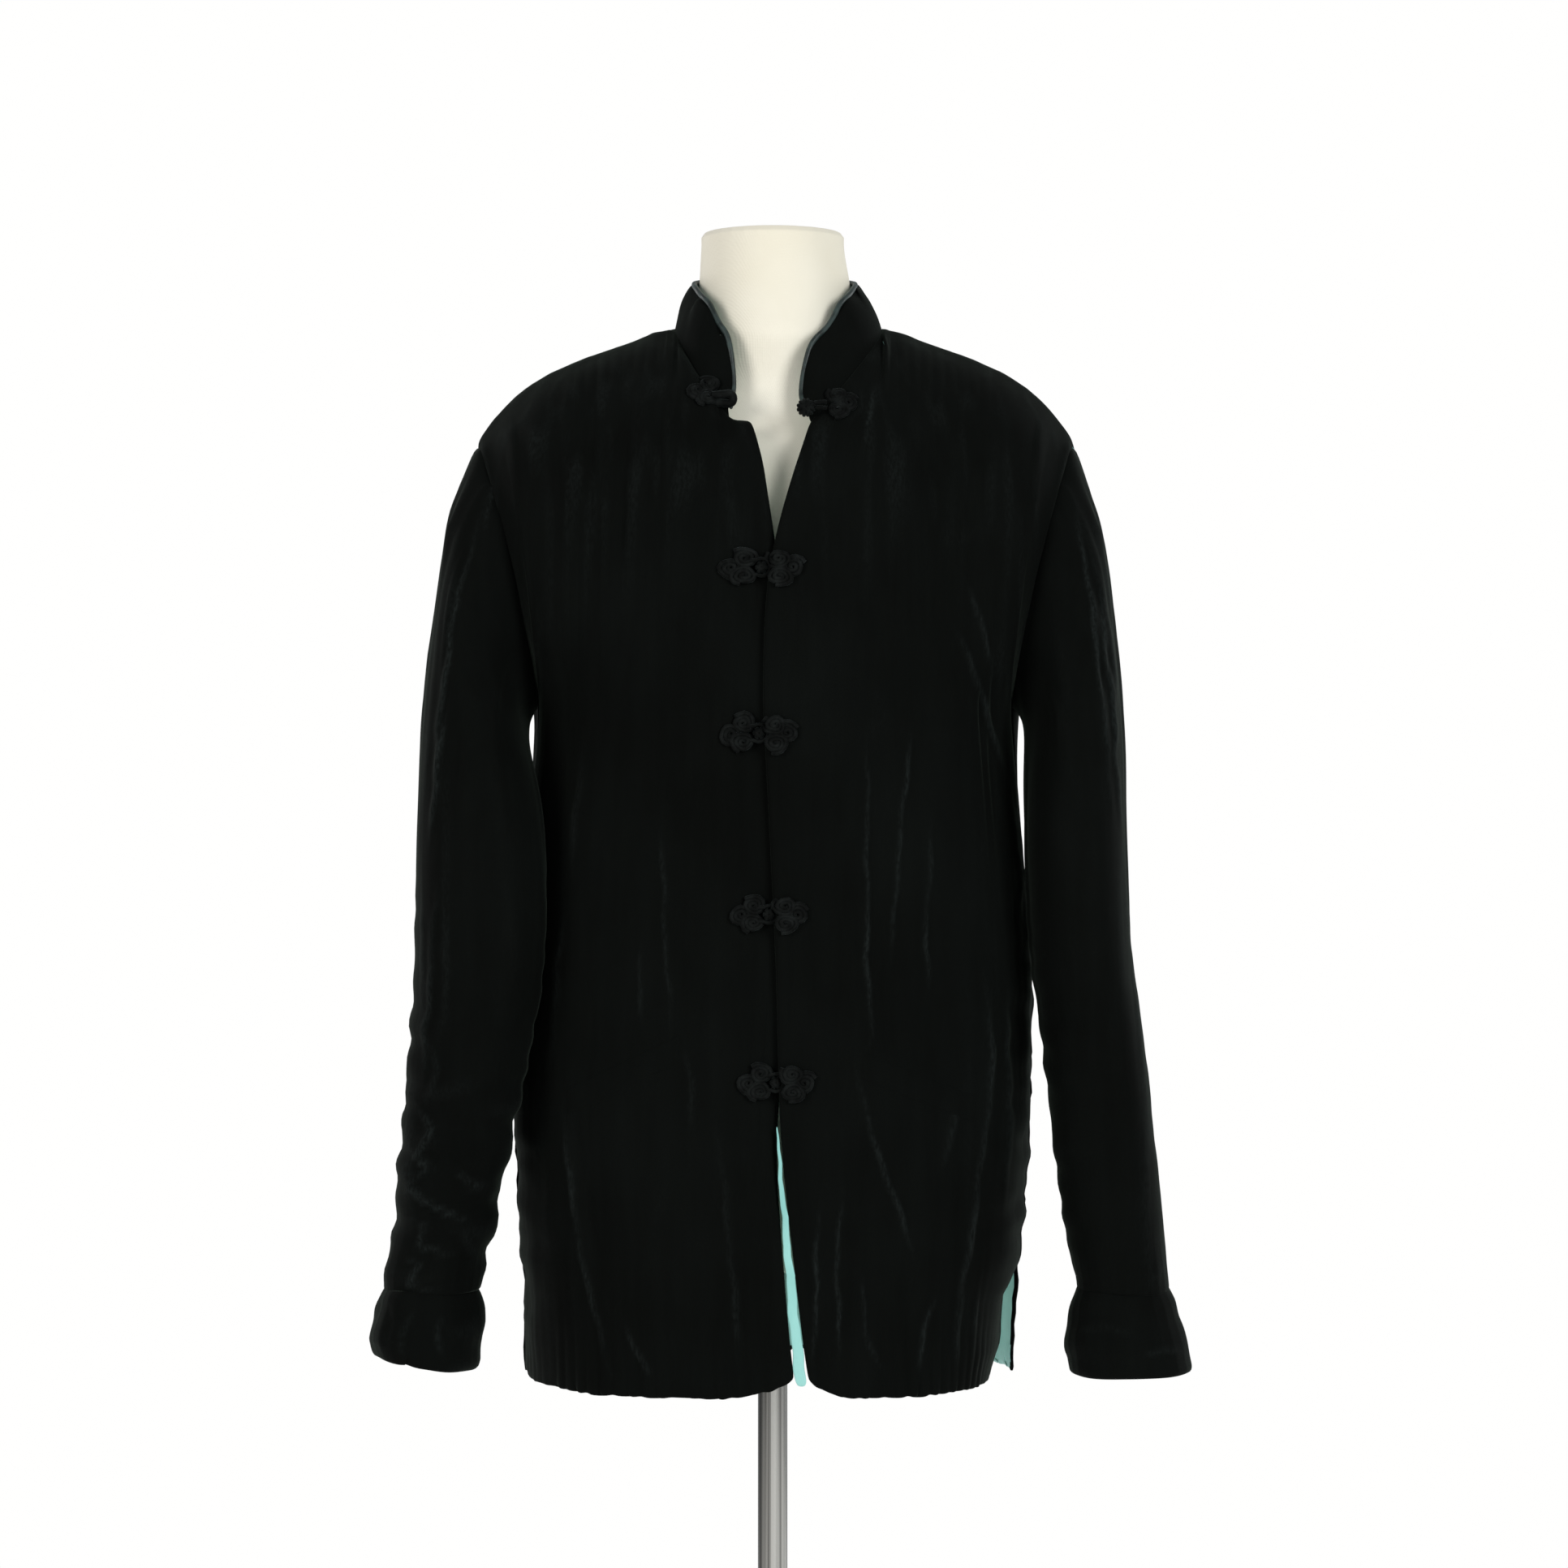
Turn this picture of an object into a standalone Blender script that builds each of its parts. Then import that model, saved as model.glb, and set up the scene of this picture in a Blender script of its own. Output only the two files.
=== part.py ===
"""Mandarin collar quilted velvet jacket on a limbless dress form with a round stand.

Metres, +Z up. The jacket faces -Y and its wearer's left is +X. The floor is z = 0 and the
stand's pole is on the Z axis. Cloth is a closed wall: a grid of outer points, raised between
the quilting seams, over a plainer grid of inner points. Neighbouring pieces share the points
of their seam and stand a seam gap apart.
"""

import math

import bmesh
import bpy
import numpy as np
from mathutils import Vector
from mathutils.bvhtree import BVHTree

# Cloth
WALL = 0.003
QUILT = 0.002
SEAM_GAP = 0.0003
PLAIN_STEP = 4

# Columns of the panels, two for each quilted channel
NECK_COLUMNS = 16
UNDER_NECK_COLUMNS = 14
UNDERLAP_COLUMNS = 4
SHOULDER_COLUMNS = 32
SLEEVE_COLUMNS = 48
ARM_ROWS = 8
# Share of the way down to the armhole's bottom, per half panel column: share of the width, power
ARM_POWERS = ((0.0, 1.7), (0.32, 2.2), (0.9, 2.8), (1.0, 2.4))
ARM_ACROSS_POWER = 1.4
# Share of the width that follows the armhole, and share that follows the centre edge
ARM_SIDE_SHARE = 0.5
CENTRE_SHARE = 0.35
# Share of a channel's height left one row below a seam
SEAM_FADE = 0.6
# Passes that round the neck corner away in the rows under the shoulder seam
CORNER_PASSES = 24

# Heights
HEM = 0.7015
LOW_ROWS = (0.737, 0.767, 0.87, 0.98, 1.15)
UNDERARM = 1.15
FULLNESS = 2.2

# Body sections: z, half width, depth of the front, depth of the back
BODY = (
    (0.700, 0.1660, 0.1350, 0.1300),
    (0.767, 0.1670, 0.1350, 0.1300),
    (0.805, 0.1710, 0.1350, 0.1290),
    (0.870, 0.1750, 0.1360, 0.1270),
    (0.950, 0.1780, 0.1350, 0.1220),
    (1.050, 0.1680, 0.1310, 0.1160),
    (1.150, 0.1600, 0.1280, 0.1170),
)
# Middle of the body: z, x
MIDDLE = ((0.70, -0.002), (1.15, 0.002))
# Centre front edges: z, edge of the over front, edge of the under front
FRONT_EDGES = (
    (0.700, 0.0240, 0.0145),
    (0.737, 0.0196, 0.0116),
    (0.767, 0.0166, 0.0090),
    (0.820, 0.0103, 0.0043),
    (0.872, 0.0045, 0.0016),
    (0.928, 0.0045, 0.0140),
    (0.968, 0.0035, 0.0150),
    (1.029, -0.0007, 0.0113),
    (1.082, -0.0033, 0.0087),
    (1.146, -0.0060, 0.0060),
    (1.232, -0.0055, 0.0065),
    (1.250, -0.0015, 0.0050),
    (1.265, 0.0020, 0.0014),
    (1.305, 0.0130, -0.0045),
    (1.327, 0.0210, -0.0088),
    (1.340, 0.0258, -0.0142),
)
# Shoulder seam: distance from the middle, z
SHOULDER = (
    (0.0707, 1.4080),
    (0.0850, 1.4050),
    (0.0960, 1.4003),
    (0.1290, 1.3893),
    (0.1550, 1.3783),
    (0.1720, 1.3673),
    (0.1840, 1.3563),
    (0.1930, 1.3453),
    (0.2030, 1.3325),
)
SHOULDER_MIDDLE = (0.004, 0.002)
SHOULDER_Y = (-0.012, 0.0)

# Neckline: an oval round its own middle, low at the front
NECK_MIDDLE = (0.004, -0.012)
NECK_HALF_WIDTH = 0.0707
NECK_FRONT = 0.080
NECK_BACK = 0.072
NECK_Z = (1.340, 1.408, 1.415)
OVER_NECK_START = math.radians(17.5)
UNDER_NECK_START = math.radians(25.5)
# Shares of the front neckline's rise that are even and that ease off
NECK_RISE = (0.4, 0.6)
# Lean of the wall at the neckline: inwards, down
NECK_LEAN = (0.75, 0.66)

# Stand collar's upper edge
COLLAR_WALL = 0.0028
COLLAR_MIDDLE = (0.0015, -0.008)
COLLAR_HALF_WIDTH = 0.0570
COLLAR_FRONT = 0.070
COLLAR_BACK = 0.066
# Angle from the centre front in degrees, z of the upper edge
COLLAR_TOP = (
    (17, 1.385),
    (25, 1.390),
    (42, 1.404),
    (54, 1.421),
    (75, 1.433),
    (90, 1.438),
    (120, 1.443),
    (180, 1.448),
)
COLLAR_CORNER_DROP = 0.026
COLLAR_CORNER_TURN = math.radians(11)
COLLAR_ROWS = 3
COLLAR_BULGE = 0.0025
BINDING_RADIUS = 0.0016
BINDING_GAP = 0.0009

# Armhole: an oval in a plane that leans out at the top and in at the front
ARMHOLE_TOP = (0.203, 1.3325)
ARMHOLE_DEPTH = 0.055
ARMHOLE_YAW = 0.12
# Low on the armhole the wall turns in: where it begins, share of the turn
ARMHOLE_LOW = (0.9, 0.5)
# Way out of the armhole: share upwards
ARMHOLE_OUT = 0.45
# The sleeve's seam stands further off below this angle: start, run, extra gap
ARMHOLE_EASE = (1.2, 0.35, 0.0005)

# Sleeve rings: outer x, outer z, inner x, inner z, middle y, half depth
RIGHT_SLEEVE = (
    (0.2185, 1.2830, 0.1625, 1.1475, -0.010, 0.058),
    (0.2245, 1.2350, 0.1650, 1.1430, -0.022, 0.058),
    (0.2290, 1.1930, 0.1640, 1.1340, -0.035, 0.057),
    (0.2315, 1.1580, 0.1620, 1.1220, -0.048, 0.055),
    (0.2335, 1.1180, 0.1560, 1.1000, -0.060, 0.053),
    (0.2350, 1.0700, 0.1480, 1.0620, -0.070, 0.051),
    (0.2352, 1.0000, 0.1450, 0.9950, -0.073, 0.050),
    (0.2395, 0.9300, 0.1560, 0.9280, -0.070, 0.047),
    (0.2455, 0.8700, 0.1710, 0.8700, -0.066, 0.045),
    (0.2490, 0.8270, 0.1810, 0.8270, -0.063, 0.043),
    (0.2525, 0.7950, 0.1880, 0.7950, -0.061, 0.041),
    (0.2590, 0.7640, 0.1945, 0.7660, -0.060, 0.040),
)
LEFT_SLEEVE = (
    (0.2205, 1.2790, 0.1670, 1.1475, -0.008, 0.058),
    (0.2268, 1.2350, 0.1695, 1.1430, -0.016, 0.059),
    (0.2318, 1.1930, 0.1695, 1.1350, -0.024, 0.060),
    (0.2338, 1.1580, 0.1700, 1.1240, -0.031, 0.060),
    (0.2347, 1.1180, 0.1690, 1.1040, -0.038, 0.059),
    (0.2352, 1.0700, 0.1665, 1.0630, -0.044, 0.057),
    (0.2365, 1.0000, 0.1705, 0.9970, -0.048, 0.053),
    (0.2470, 0.9300, 0.1800, 0.9290, -0.051, 0.049),
    (0.2530, 0.8700, 0.1860, 0.8700, -0.053, 0.045),
    (0.2580, 0.8270, 0.1900, 0.8270, -0.054, 0.043),
    (0.2612, 0.7950, 0.1965, 0.7950, -0.054, 0.041),
    (0.2640, 0.7640, 0.2028, 0.7660, -0.054, 0.040),
)
RIGHT_CUFF = (
    (0.2680, 0.7390, 0.1955, 0.7380, -0.059, 0.044),
    (0.2610, 0.7240, 0.1975, 0.7130, -0.058, 0.042),
)
LEFT_CUFF = (
    (0.2715, 0.7340, 0.1958, 0.7330, -0.053, 0.044),
    (0.2785, 0.7120, 0.1990, 0.7080, -0.052, 0.043),
)
CUFF_WALL = 0.005
CUFF_STEP = 0.0015
SLEEVE_CLEARANCE = 0.0058
CUFF_QUILT_SHARE = 0.6
# Rings and columns of the sleeve's underside that stay unraised: rings, divisor of the columns
UNDERARM_RINGS = 4
UNDERARM_DIVISOR = 6
# Below the underarm a sleeve stands off the body: how far it starts past it, over what height
UNDERARM_EASE = (0.004, 0.03)

# Largest folds of the fronts: upper x, upper z, lower x, lower z, width, height (a trough is below 0)
FRONT_FOLDS = (
    (0.1240, 1.202, 0.1530, 1.130, 0.011, -0.0045),
    (-0.1330, 1.210, -0.1400, 1.130, 0.011, -0.0040),
    (0.0890, 1.140, 0.0780, 0.975, 0.010, -0.0025),
    (-0.0640, 1.090, -0.0660, 0.935, 0.011, -0.0028),
    (0.0550, 0.916, 0.0800, 0.838, 0.010, 0.0025),
    (0.1270, 0.900, 0.1180, 0.740, 0.011, -0.0025),
    (-0.1270, 0.900, -0.1080, 0.740, 0.011, -0.0025),
    (-0.0300, 0.860, -0.0200, 0.740, 0.010, -0.0022),
    (0.0350, 0.840, 0.0300, 0.740, 0.010, -0.0022),
)
# Largest folds of the back
BACK_FOLDS = (
    (0.1250, 1.200, 0.1450, 1.130, 0.011, -0.0040),
    (-0.1250, 1.200, -0.1450, 1.130, 0.011, -0.0040),
    (0.0600, 1.100, 0.0500, 0.920, 0.012, -0.0026),
    (-0.0450, 1.080, -0.0580, 0.900, 0.012, -0.0026),
    (0.0950, 0.900, 0.0880, 0.740, 0.011, -0.0024),
    (-0.1000, 0.880, -0.0900, 0.740, 0.011, -0.0024),
)
UNDERLAP_DROP = 0.0045
UNDERLAP_START = 0.026
UNDERLAP_FULL = 0.008
# Where the under front's drop begins, is whole, stays whole and ends
UNDERLAP_HEIGHTS = (0.79, 0.85, 1.29, 1.32)
# Upper corner of the under front: how far it stands forward, way to its inner point
UNDERLAP_TIP = 0.002
UNDERLAP_WAY = (0.0, 1.0, -0.3)

# Side vents: how far the front's edge swings in at the hem and one row up, left then right
VENTS = {1: (0.0140, 0.0085), -1: (0.0020, 0.0012)}
HEM_SCALLOP = 0.0012
# Rise of the fronts' rounded hem corners and how far along the hem they reach
CENTRE_CORNER = (0.010, 0.020)
SIDE_CORNER = (0.011, 0.030)

# Pocket welts: inner x, inner z, outer x, outer z
WELTS = {
    "welt_right": (-0.0590, 0.9390, -0.1360, 0.9010),
    "welt_left": (0.0570, 0.9280, 0.1340, 0.8960),
}
WELT_WIDTH = 0.020
WELT_THICKNESS = 0.0016
WELT_LIFT = 0.0003
# Rows and columns of a welt's points
WELT_GRID = (3, 11)

# Turned out lining: lift above the hem corner, upper heights, insets from its edges, two depths
LINING_LIFT = 0.002
LINING_HEIGHTS = (0.82, 0.878)
LINING_INSETS = (0.0007, 0.0005)
LINING_DEPTHS = (0.0004, 0.0022)

# Frog fastenings: name, x and z of the knot, span, height
FROGS = (
    ("frog_1", -0.0070, 1.2410, 0.0590, 0.0250),
    ("frog_2", -0.0085, 1.1330, 0.0530, 0.0270),
    ("frog_3", -0.0020, 1.0155, 0.0530, 0.0250),
    ("frog_4", 0.0025, 0.9065, 0.0530, 0.0255),
)
KNOT_RADIUS = 0.0045
KNOT_FACETS = (8, 6)
# A ball starts this far forward and comes back in this many steps
KNOT_START = -0.2
KNOT_STEPS = 80
LOOP_END_SHARE = 0.75
# Forward reach of the cloth where a piece is laid past its edge
FRONT_DEPTH = -0.13
PAD_HEIGHT = 0.0036
# Rings of a pad: share of its size, share of its height
PAD_RINGS = ((0.5, 0.0), (1.0, 0.0), (1.0, 0.45), (0.66, 1.0), (0.22, 0.62))
PAD_STRETCH = 1.09
PAD_COLUMNS = 15
PAD_LOBE = 0.2
PAD_TIP = 0.0008
PAD_LIFT = 0.0003
LOOP_PAD_LIFT = 0.0007
BALL_GAP = 0.0004
# Collar's open pair: pad x, pad z, knot or loop x, knot or loop z
COLLAR_FROG = {"left": (0.0440, 1.3500, 0.0290, 1.3490), "right": (-0.0440, 1.3590, -0.0290, 1.3550)}
COLLAR_PAD = (0.0130, 0.0105)
COLLAR_LIFT = 0.0006

# Dress form: z, middle x, middle y, half width, front depth, back depth, neck radius
FORM = (
    (0.780, 0.0000, 0.000, 0.1480, 0.1050, 0.1120, 0.0),
    (0.790, 0.0000, 0.000, 0.1540, 0.1090, 0.1160, 0.0),
    (0.860, 0.0000, 0.000, 0.1570, 0.1100, 0.1170, 0.0),
    (0.950, 0.0000, 0.000, 0.1450, 0.1030, 0.1060, 0.0),
    (1.030, 0.0010, 0.000, 0.1300, 0.0960, 0.0900, 0.0),
    (1.110, 0.0010, 0.000, 0.1340, 0.1040, 0.0900, 0.0),
    (1.180, 0.0020, 0.000, 0.1430, 0.1100, 0.0940, 0.0),
    (1.240, 0.0020, 0.000, 0.1500, 0.1060, 0.0960, 0.0),
    (1.290, 0.0020, -0.002, 0.1580, 0.0910, 0.0940, 0.0),
    (1.325, 0.0020, -0.004, 0.1640, 0.0720, 0.0820, 0.0460),
    (1.345, 0.0020, -0.006, 0.1660, 0.0580, 0.0700, 0.0490),
    (1.362, 0.0020, -0.007, 0.1610, 0.0440, 0.0560, 0.0510),
    (1.375, 0.0022, -0.007, 0.1490, 0.0320, 0.0440, 0.0520),
    (1.385, 0.0026, -0.007, 0.1260, 0.0230, 0.0330, 0.0530),
    (1.395, 0.0034, -0.008, 0.0890, 0.0180, 0.0230, 0.0536),
    (1.402, 0.0034, -0.008, 0.0640, 0.0180, 0.0220, 0.0538),
    (1.412, 0.0020, -0.005, 0.0530, 0.0180, 0.0220, 0.0530),
    (1.425, 0.0015, -0.002, 0.0400, 0.0180, 0.0220, 0.0520),
    (1.440, 0.0015, 0.000, 0.0400, 0.0180, 0.0220, 0.0503),
    (1.458, 0.0000, 0.000, 0.0400, 0.0180, 0.0220, 0.0476),
    (1.470, 0.0000, 0.000, 0.0400, 0.0180, 0.0220, 0.0465),
    (1.4735, 0.0000, 0.000, 0.0400, 0.0180, 0.0220, 0.0430),
)
NECK_BLEND = 7.0
FORM_COLUMNS = 28

# Stand
POLE_RADIUS = 0.010
BASE_RADIUS = 0.190
BASE_EDGE = 0.010
HUB_RADIUS = 0.024
HUB_TOP = 0.034
FLANGE_RADIUS = 0.045
FLANGE_THICKNESS = 0.004
FLANGE_NECK = 0.003
HUB_CHAMFER = 0.003
BASE_CHAMFER = 0.004
BASE_RISE = 0.006
POLE_STEPS = 24
BASE_STEPS = 48

COLOURS = {
    "velvet": ((0.0050, 0.0062, 0.0058, 1.0), 0.85, 0.0),
    "lining": ((0.36, 0.68, 0.62, 1.0), 0.55, 0.0),
    "form_cloth": ((0.80, 0.76, 0.66, 1.0), 0.8, 0.0),
    "chrome": ((0.60, 0.60, 0.60, 1.0), 0.22, 1.0),
    "painted_steel": ((0.10, 0.10, 0.105, 1.0), 0.4, 0.0),
}


def clear_scene():
    for obj in list(bpy.data.objects):
        bpy.data.objects.remove(obj, do_unlink=True)


def collection_named(name):
    group = bpy.data.collections.new(name)
    bpy.context.scene.collection.children.link(group)
    return group


def material_for(name, finish):
    colour, roughness, metallic = COLOURS[finish]
    material = bpy.data.materials.new(name + "_" + finish)
    material.use_nodes = True
    shader = material.node_tree.nodes["Principled BSDF"]
    shader.inputs["Base Color"].default_value = colour
    shader.inputs["Roughness"].default_value = roughness
    shader.inputs["Metallic"].default_value = metallic
    return material


def column(table, index):
    return [row[index] for row in table]


def eased(share):
    share = np.clip(share, 0.0, 1.0)
    return share * share * (3.0 - 2.0 * share)


def unit(vectors):
    vectors = np.asarray(vectors, dtype=float)
    return vectors / np.linalg.norm(vectors, axis=-1, keepdims=True)


def section_sizes(z):
    heights = column(BODY, 0)
    return [float(np.interp(z, heights, column(BODY, i))) for i in (1, 2, 3)]


def quarter(half_width, depth):
    """Running length, distance from the middle and depth along a quarter of the section."""
    angle = np.linspace(0.0, math.pi / 2, 121)
    across = half_width * np.sin(angle) ** (2 / FULLNESS)
    deep = depth * np.cos(angle) ** (2 / FULLNESS)
    run = np.concatenate(([0.0], np.cumsum(np.hypot(np.diff(across), np.diff(deep)))))
    return run, across, deep


def section_points(z, start, trim, columns, side, facing):
    """One lower row of a half panel, from its centre edge to its side seam."""
    half_width, front, back = section_sizes(z)
    run, across, deep = quarter(half_width, front if facing < 0 else back)
    along = np.linspace(start, run[-1] - trim, columns + 1)
    x = np.sign(along) * np.interp(np.abs(along), run, across)
    y = facing * np.interp(np.abs(along), run, deep)
    middle = float(np.interp(z, column(MIDDLE, 0), column(MIDDLE, 1)))
    return np.stack([middle + side * x, y, np.full_like(x, z)], axis=1)


def neckline(angle, side):
    """Point of the neckline, angle 0 at the centre front and pi at the centre back."""
    depth = NECK_FRONT if angle < math.pi / 2 else NECK_BACK
    start = OVER_NECK_START if side > 0 else UNDER_NECK_START
    if angle < math.pi / 2:
        share = (angle - start) / (math.pi / 2 - start)
        rise = math.sin(share * math.pi / 2)
        z = NECK_Z[0] + (NECK_Z[1] - NECK_Z[0]) * (NECK_RISE[0] * share + NECK_RISE[1] * rise)
    else:
        share = angle / (math.pi / 2) - 1.0
        z = NECK_Z[1] + (NECK_Z[2] - NECK_Z[1]) * math.sin(share * math.pi / 2)
    x = NECK_MIDDLE[0] + side * NECK_HALF_WIDTH * math.sin(angle)
    return (x, NECK_MIDDLE[1] - depth * math.cos(angle), z)


def neck_outward(angle, side):
    return np.array([side * math.sin(angle), -math.cos(angle), 0.0])


def neck_inner_way(angle, side):
    """From a neckline point to its inner point: inwards and down."""
    return unit(-NECK_LEAN[0] * neck_outward(angle, side) - np.array([0.0, 0.0, NECK_LEAN[1]]))


def shoulder_points(side):
    steps = np.linspace(0.0, 1.0, SHOULDER_COLUMNS + 1)
    reach = SHOULDER[0][0] + (SHOULDER[-1][0] - SHOULDER[0][0]) * steps
    z = np.interp(reach, column(SHOULDER, 0), column(SHOULDER, 1))
    middle = SHOULDER_MIDDLE[0] + (SHOULDER_MIDDLE[1] - SHOULDER_MIDDLE[0]) * steps
    y = SHOULDER_Y[0] + (SHOULDER_Y[1] - SHOULDER_Y[0]) * steps
    return np.stack([middle + side * reach, y, z], axis=1)


def armhole(angle, side):
    """Outer point of the armhole and the way to its inner point, angle 0 on top, pi/2 in front."""
    bottom = section_sizes(UNDERARM)[0]
    middle = SHOULDER_MIDDLE[1]
    across = (ARMHOLE_TOP[0] + bottom) / 2
    height = (ARMHOLE_TOP[1] + UNDERARM) / 2
    centre = np.array([middle + side * across, 0.0, height])
    rise = np.array([side * (ARMHOLE_TOP[0] - bottom) / 2, 0.0, (ARMHOLE_TOP[1] - UNDERARM) / 2])
    forward = np.array([-side * ARMHOLE_YAW, -1.0, 0.0]) * ARMHOLE_DEPTH
    point = centre + rise * math.cos(angle) + forward * math.sin(angle)
    low = float(eased((1.0 - math.cos(angle)) - ARMHOLE_LOW[0])) * ARMHOLE_LOW[1]
    way = unit((1.0 - low) * unit(centre - point) + low * np.array([-side, 0.0, 0.0]))
    return point, way


def top_edge(side, facing):
    """Neckline and shoulder seam of a half panel from its centre edge, with the ways inwards."""
    points = []
    ways = []
    if facing < 0:
        start = OVER_NECK_START if side > 0 else UNDER_NECK_START
        steps = NECK_COLUMNS if side > 0 else UNDER_NECK_COLUMNS
        if side < 0:
            first = neckline(start, side)
            tip = (FRONT_EDGES[-1][2], first[1] - UNDERLAP_TIP, first[2])
            for share in np.arange(UNDERLAP_COLUMNS) / UNDERLAP_COLUMNS:
                points.append([tip[i] + (first[i] - tip[i]) * share for i in range(3)])
                ways.append(unit(UNDERLAP_WAY))
        angles = np.linspace(start, math.pi / 2, steps + 1)
    else:
        angles = np.linspace(math.pi, math.pi / 2, NECK_COLUMNS + 1)
    for angle in angles:
        points.append(neckline(angle, side))
        ways.append(neck_inner_way(angle, side))
    shoulder = shoulder_points(side)
    points[-1] = shoulder[0]
    for point in shoulder[1:]:
        points.append(point)
        ways.append(np.array([0.0, 0.0, -1.0]))
    ways[-1] = armhole(0.0, side)[1]
    return np.array(points), np.array(ways)


def centre_edge(z, side, facing):
    """Signed distance of a half panel's centre edge from the middle, at each z."""
    if facing > 0:
        return np.zeros_like(np.asarray(z, dtype=float))
    z = np.asarray(z, dtype=float)
    edge = np.interp(z, column(FRONT_EDGES, 0), column(FRONT_EDGES, 1 if side > 0 else 2))
    return side * (edge - np.interp(z, column(MIDDLE, 0), column(MIDDLE, 1)))


def half_panel(side, facing):
    """Base points of a half panel, rows from the hem up and columns from the centre to the side."""
    top, ways = top_edge(side, facing)
    columns = len(top) - 1
    rows = []
    trims = VENTS[side] + (0.0,) * len(LOW_ROWS) if facing < 0 else (0.0,) * (len(LOW_ROWS) + 2)
    for z, trim in zip((HEM,) + LOW_ROWS, trims):
        rows.append(section_points(z, float(centre_edge(z, side, facing)), trim, columns, side, facing))
    hem = rows[0]
    if facing < 0:
        along = np.concatenate(([0.0], np.cumsum(np.linalg.norm(np.diff(hem, axis=0), axis=1))))
        for (rise, reach), distance in ((CENTRE_CORNER, along), (SIDE_CORNER, along[-1] - along)):
            hem[:, 2] += rise * np.clip(1.0 - distance / reach, 0.0, 1.0) ** 2
    hem[1::2, 2] -= HEM_SCALLOP
    base = rows[-1]
    share = np.arange(columns + 1) / columns
    power = np.interp(share, column(ARM_POWERS, 0), column(ARM_POWERS, 1))
    near_arm = eased((share - ARM_SIDE_SHARE) / (1.0 - ARM_SIDE_SHARE))
    near_centre = np.clip(1.0 - share / CENTRE_SHARE, 0.0, 1.0) ** 2
    for step in range(1, ARM_ROWS + 1):
        t = (1.0 - math.cos(math.pi * step / ARM_ROWS)) / 2
        row = np.empty_like(base)
        row[:, 0] = base[:, 0] + (top[:, 0] - base[:, 0]) * t**ARM_ACROSS_POWER
        row[:, 1] = top[:, 1] + (base[:, 1] - top[:, 1]) * (1.0 - t**power) ** (1.0 / power)
        row[:, 2] = base[:, 2] + (top[:, 2] - base[:, 2]) * t
        arm = armhole(math.pi * (1.0 - step / ARM_ROWS), side)[0]
        if facing > 0:
            arm = armhole(-math.pi * (1.0 - step / ARM_ROWS), side)[0]
        row += np.outer(near_arm, arm - row[-1])
        if facing < 0:
            edges = column(FRONT_EDGES, 1 if side > 0 else 2)
            edge = float(np.interp(row[0, 2], column(FRONT_EDGES, 0), edges))
            row[:, 0] += near_centre * (edge - row[0, 0])
        for _ in range(CORNER_PASSES):
            row[1:-1] = (row[:-2] + 2 * row[1:-1] + row[2:]) / 4
        rows.append(top.copy() if step == ARM_ROWS else row)
    return np.array(rows), ways


def surface_ways(grid, closed=False):
    """Outward unit normals of a grid of points."""
    if closed:
        along = np.roll(grid, -1, axis=1) - np.roll(grid, 1, axis=1)
    else:
        along = np.gradient(grid, axis=1)
    up = np.gradient(grid, axis=0)
    normals = unit(np.cross(along, up))
    centre = grid.mean(axis=1, keepdims=True)
    outward = (normals * (grid - centre))[..., :2].sum(axis=-1)
    return normals * (1.0 if outward.sum() > 0 else -1.0)


def fold_heights(grid, folds):
    heights = np.zeros(grid.shape[:2])
    for x_top, z_top, x_low, z_low, width, height in folds:
        start = np.array([x_top, z_top])
        line = np.array([x_low, z_low]) - start
        flat = grid[..., (0, 2)] - start
        share = np.clip((flat @ line) / (line @ line), 0.0, 1.0)
        away = np.linalg.norm(flat - share[..., None] * line, axis=-1)
        heights += height * np.exp(-((away / width) ** 2))
    return heights


def fade_at_seams(count):
    """Share of a fold or channel kept in each row, nothing at the top seam."""
    fade = np.ones(count)
    fade[-1] = 0.0
    fade[-2] = SEAM_FADE
    return fade


def quilted(base, normals, ends, cover=None):
    """Outer points: every second column stands out, so a seam lies between two ridges."""
    raised = base.copy()
    heights = np.zeros(base.shape[:2])
    heights[:, 1::2] = QUILT
    heights *= fade_at_seams(len(base))[:, None]
    for end in ends:
        heights[len(LOW_ROWS) :, end] = 0.0
    if cover is not None:
        heights *= cover
    return raised + normals * heights[..., None]


def face_strip(mesh, lower, upper):
    """Faces between two rows of (column, vertex) pairs whose columns may differ."""
    i = j = 0
    while i < len(lower) - 1 or j < len(upper) - 1:
        next_low = lower[i + 1][0] if i < len(lower) - 1 else math.inf
        next_up = upper[j + 1][0] if j < len(upper) - 1 else math.inf
        if next_low == next_up:
            mesh.faces.new((lower[i][1], lower[i + 1][1], upper[j + 1][1], upper[j][1]))
            i += 1
            j += 1
        elif next_low < next_up:
            mesh.faces.new((lower[i][1], lower[i + 1][1], upper[j][1]))
            i += 1
        else:
            mesh.faces.new((lower[i][1], upper[j + 1][1], upper[j][1]))
            j += 1


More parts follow.
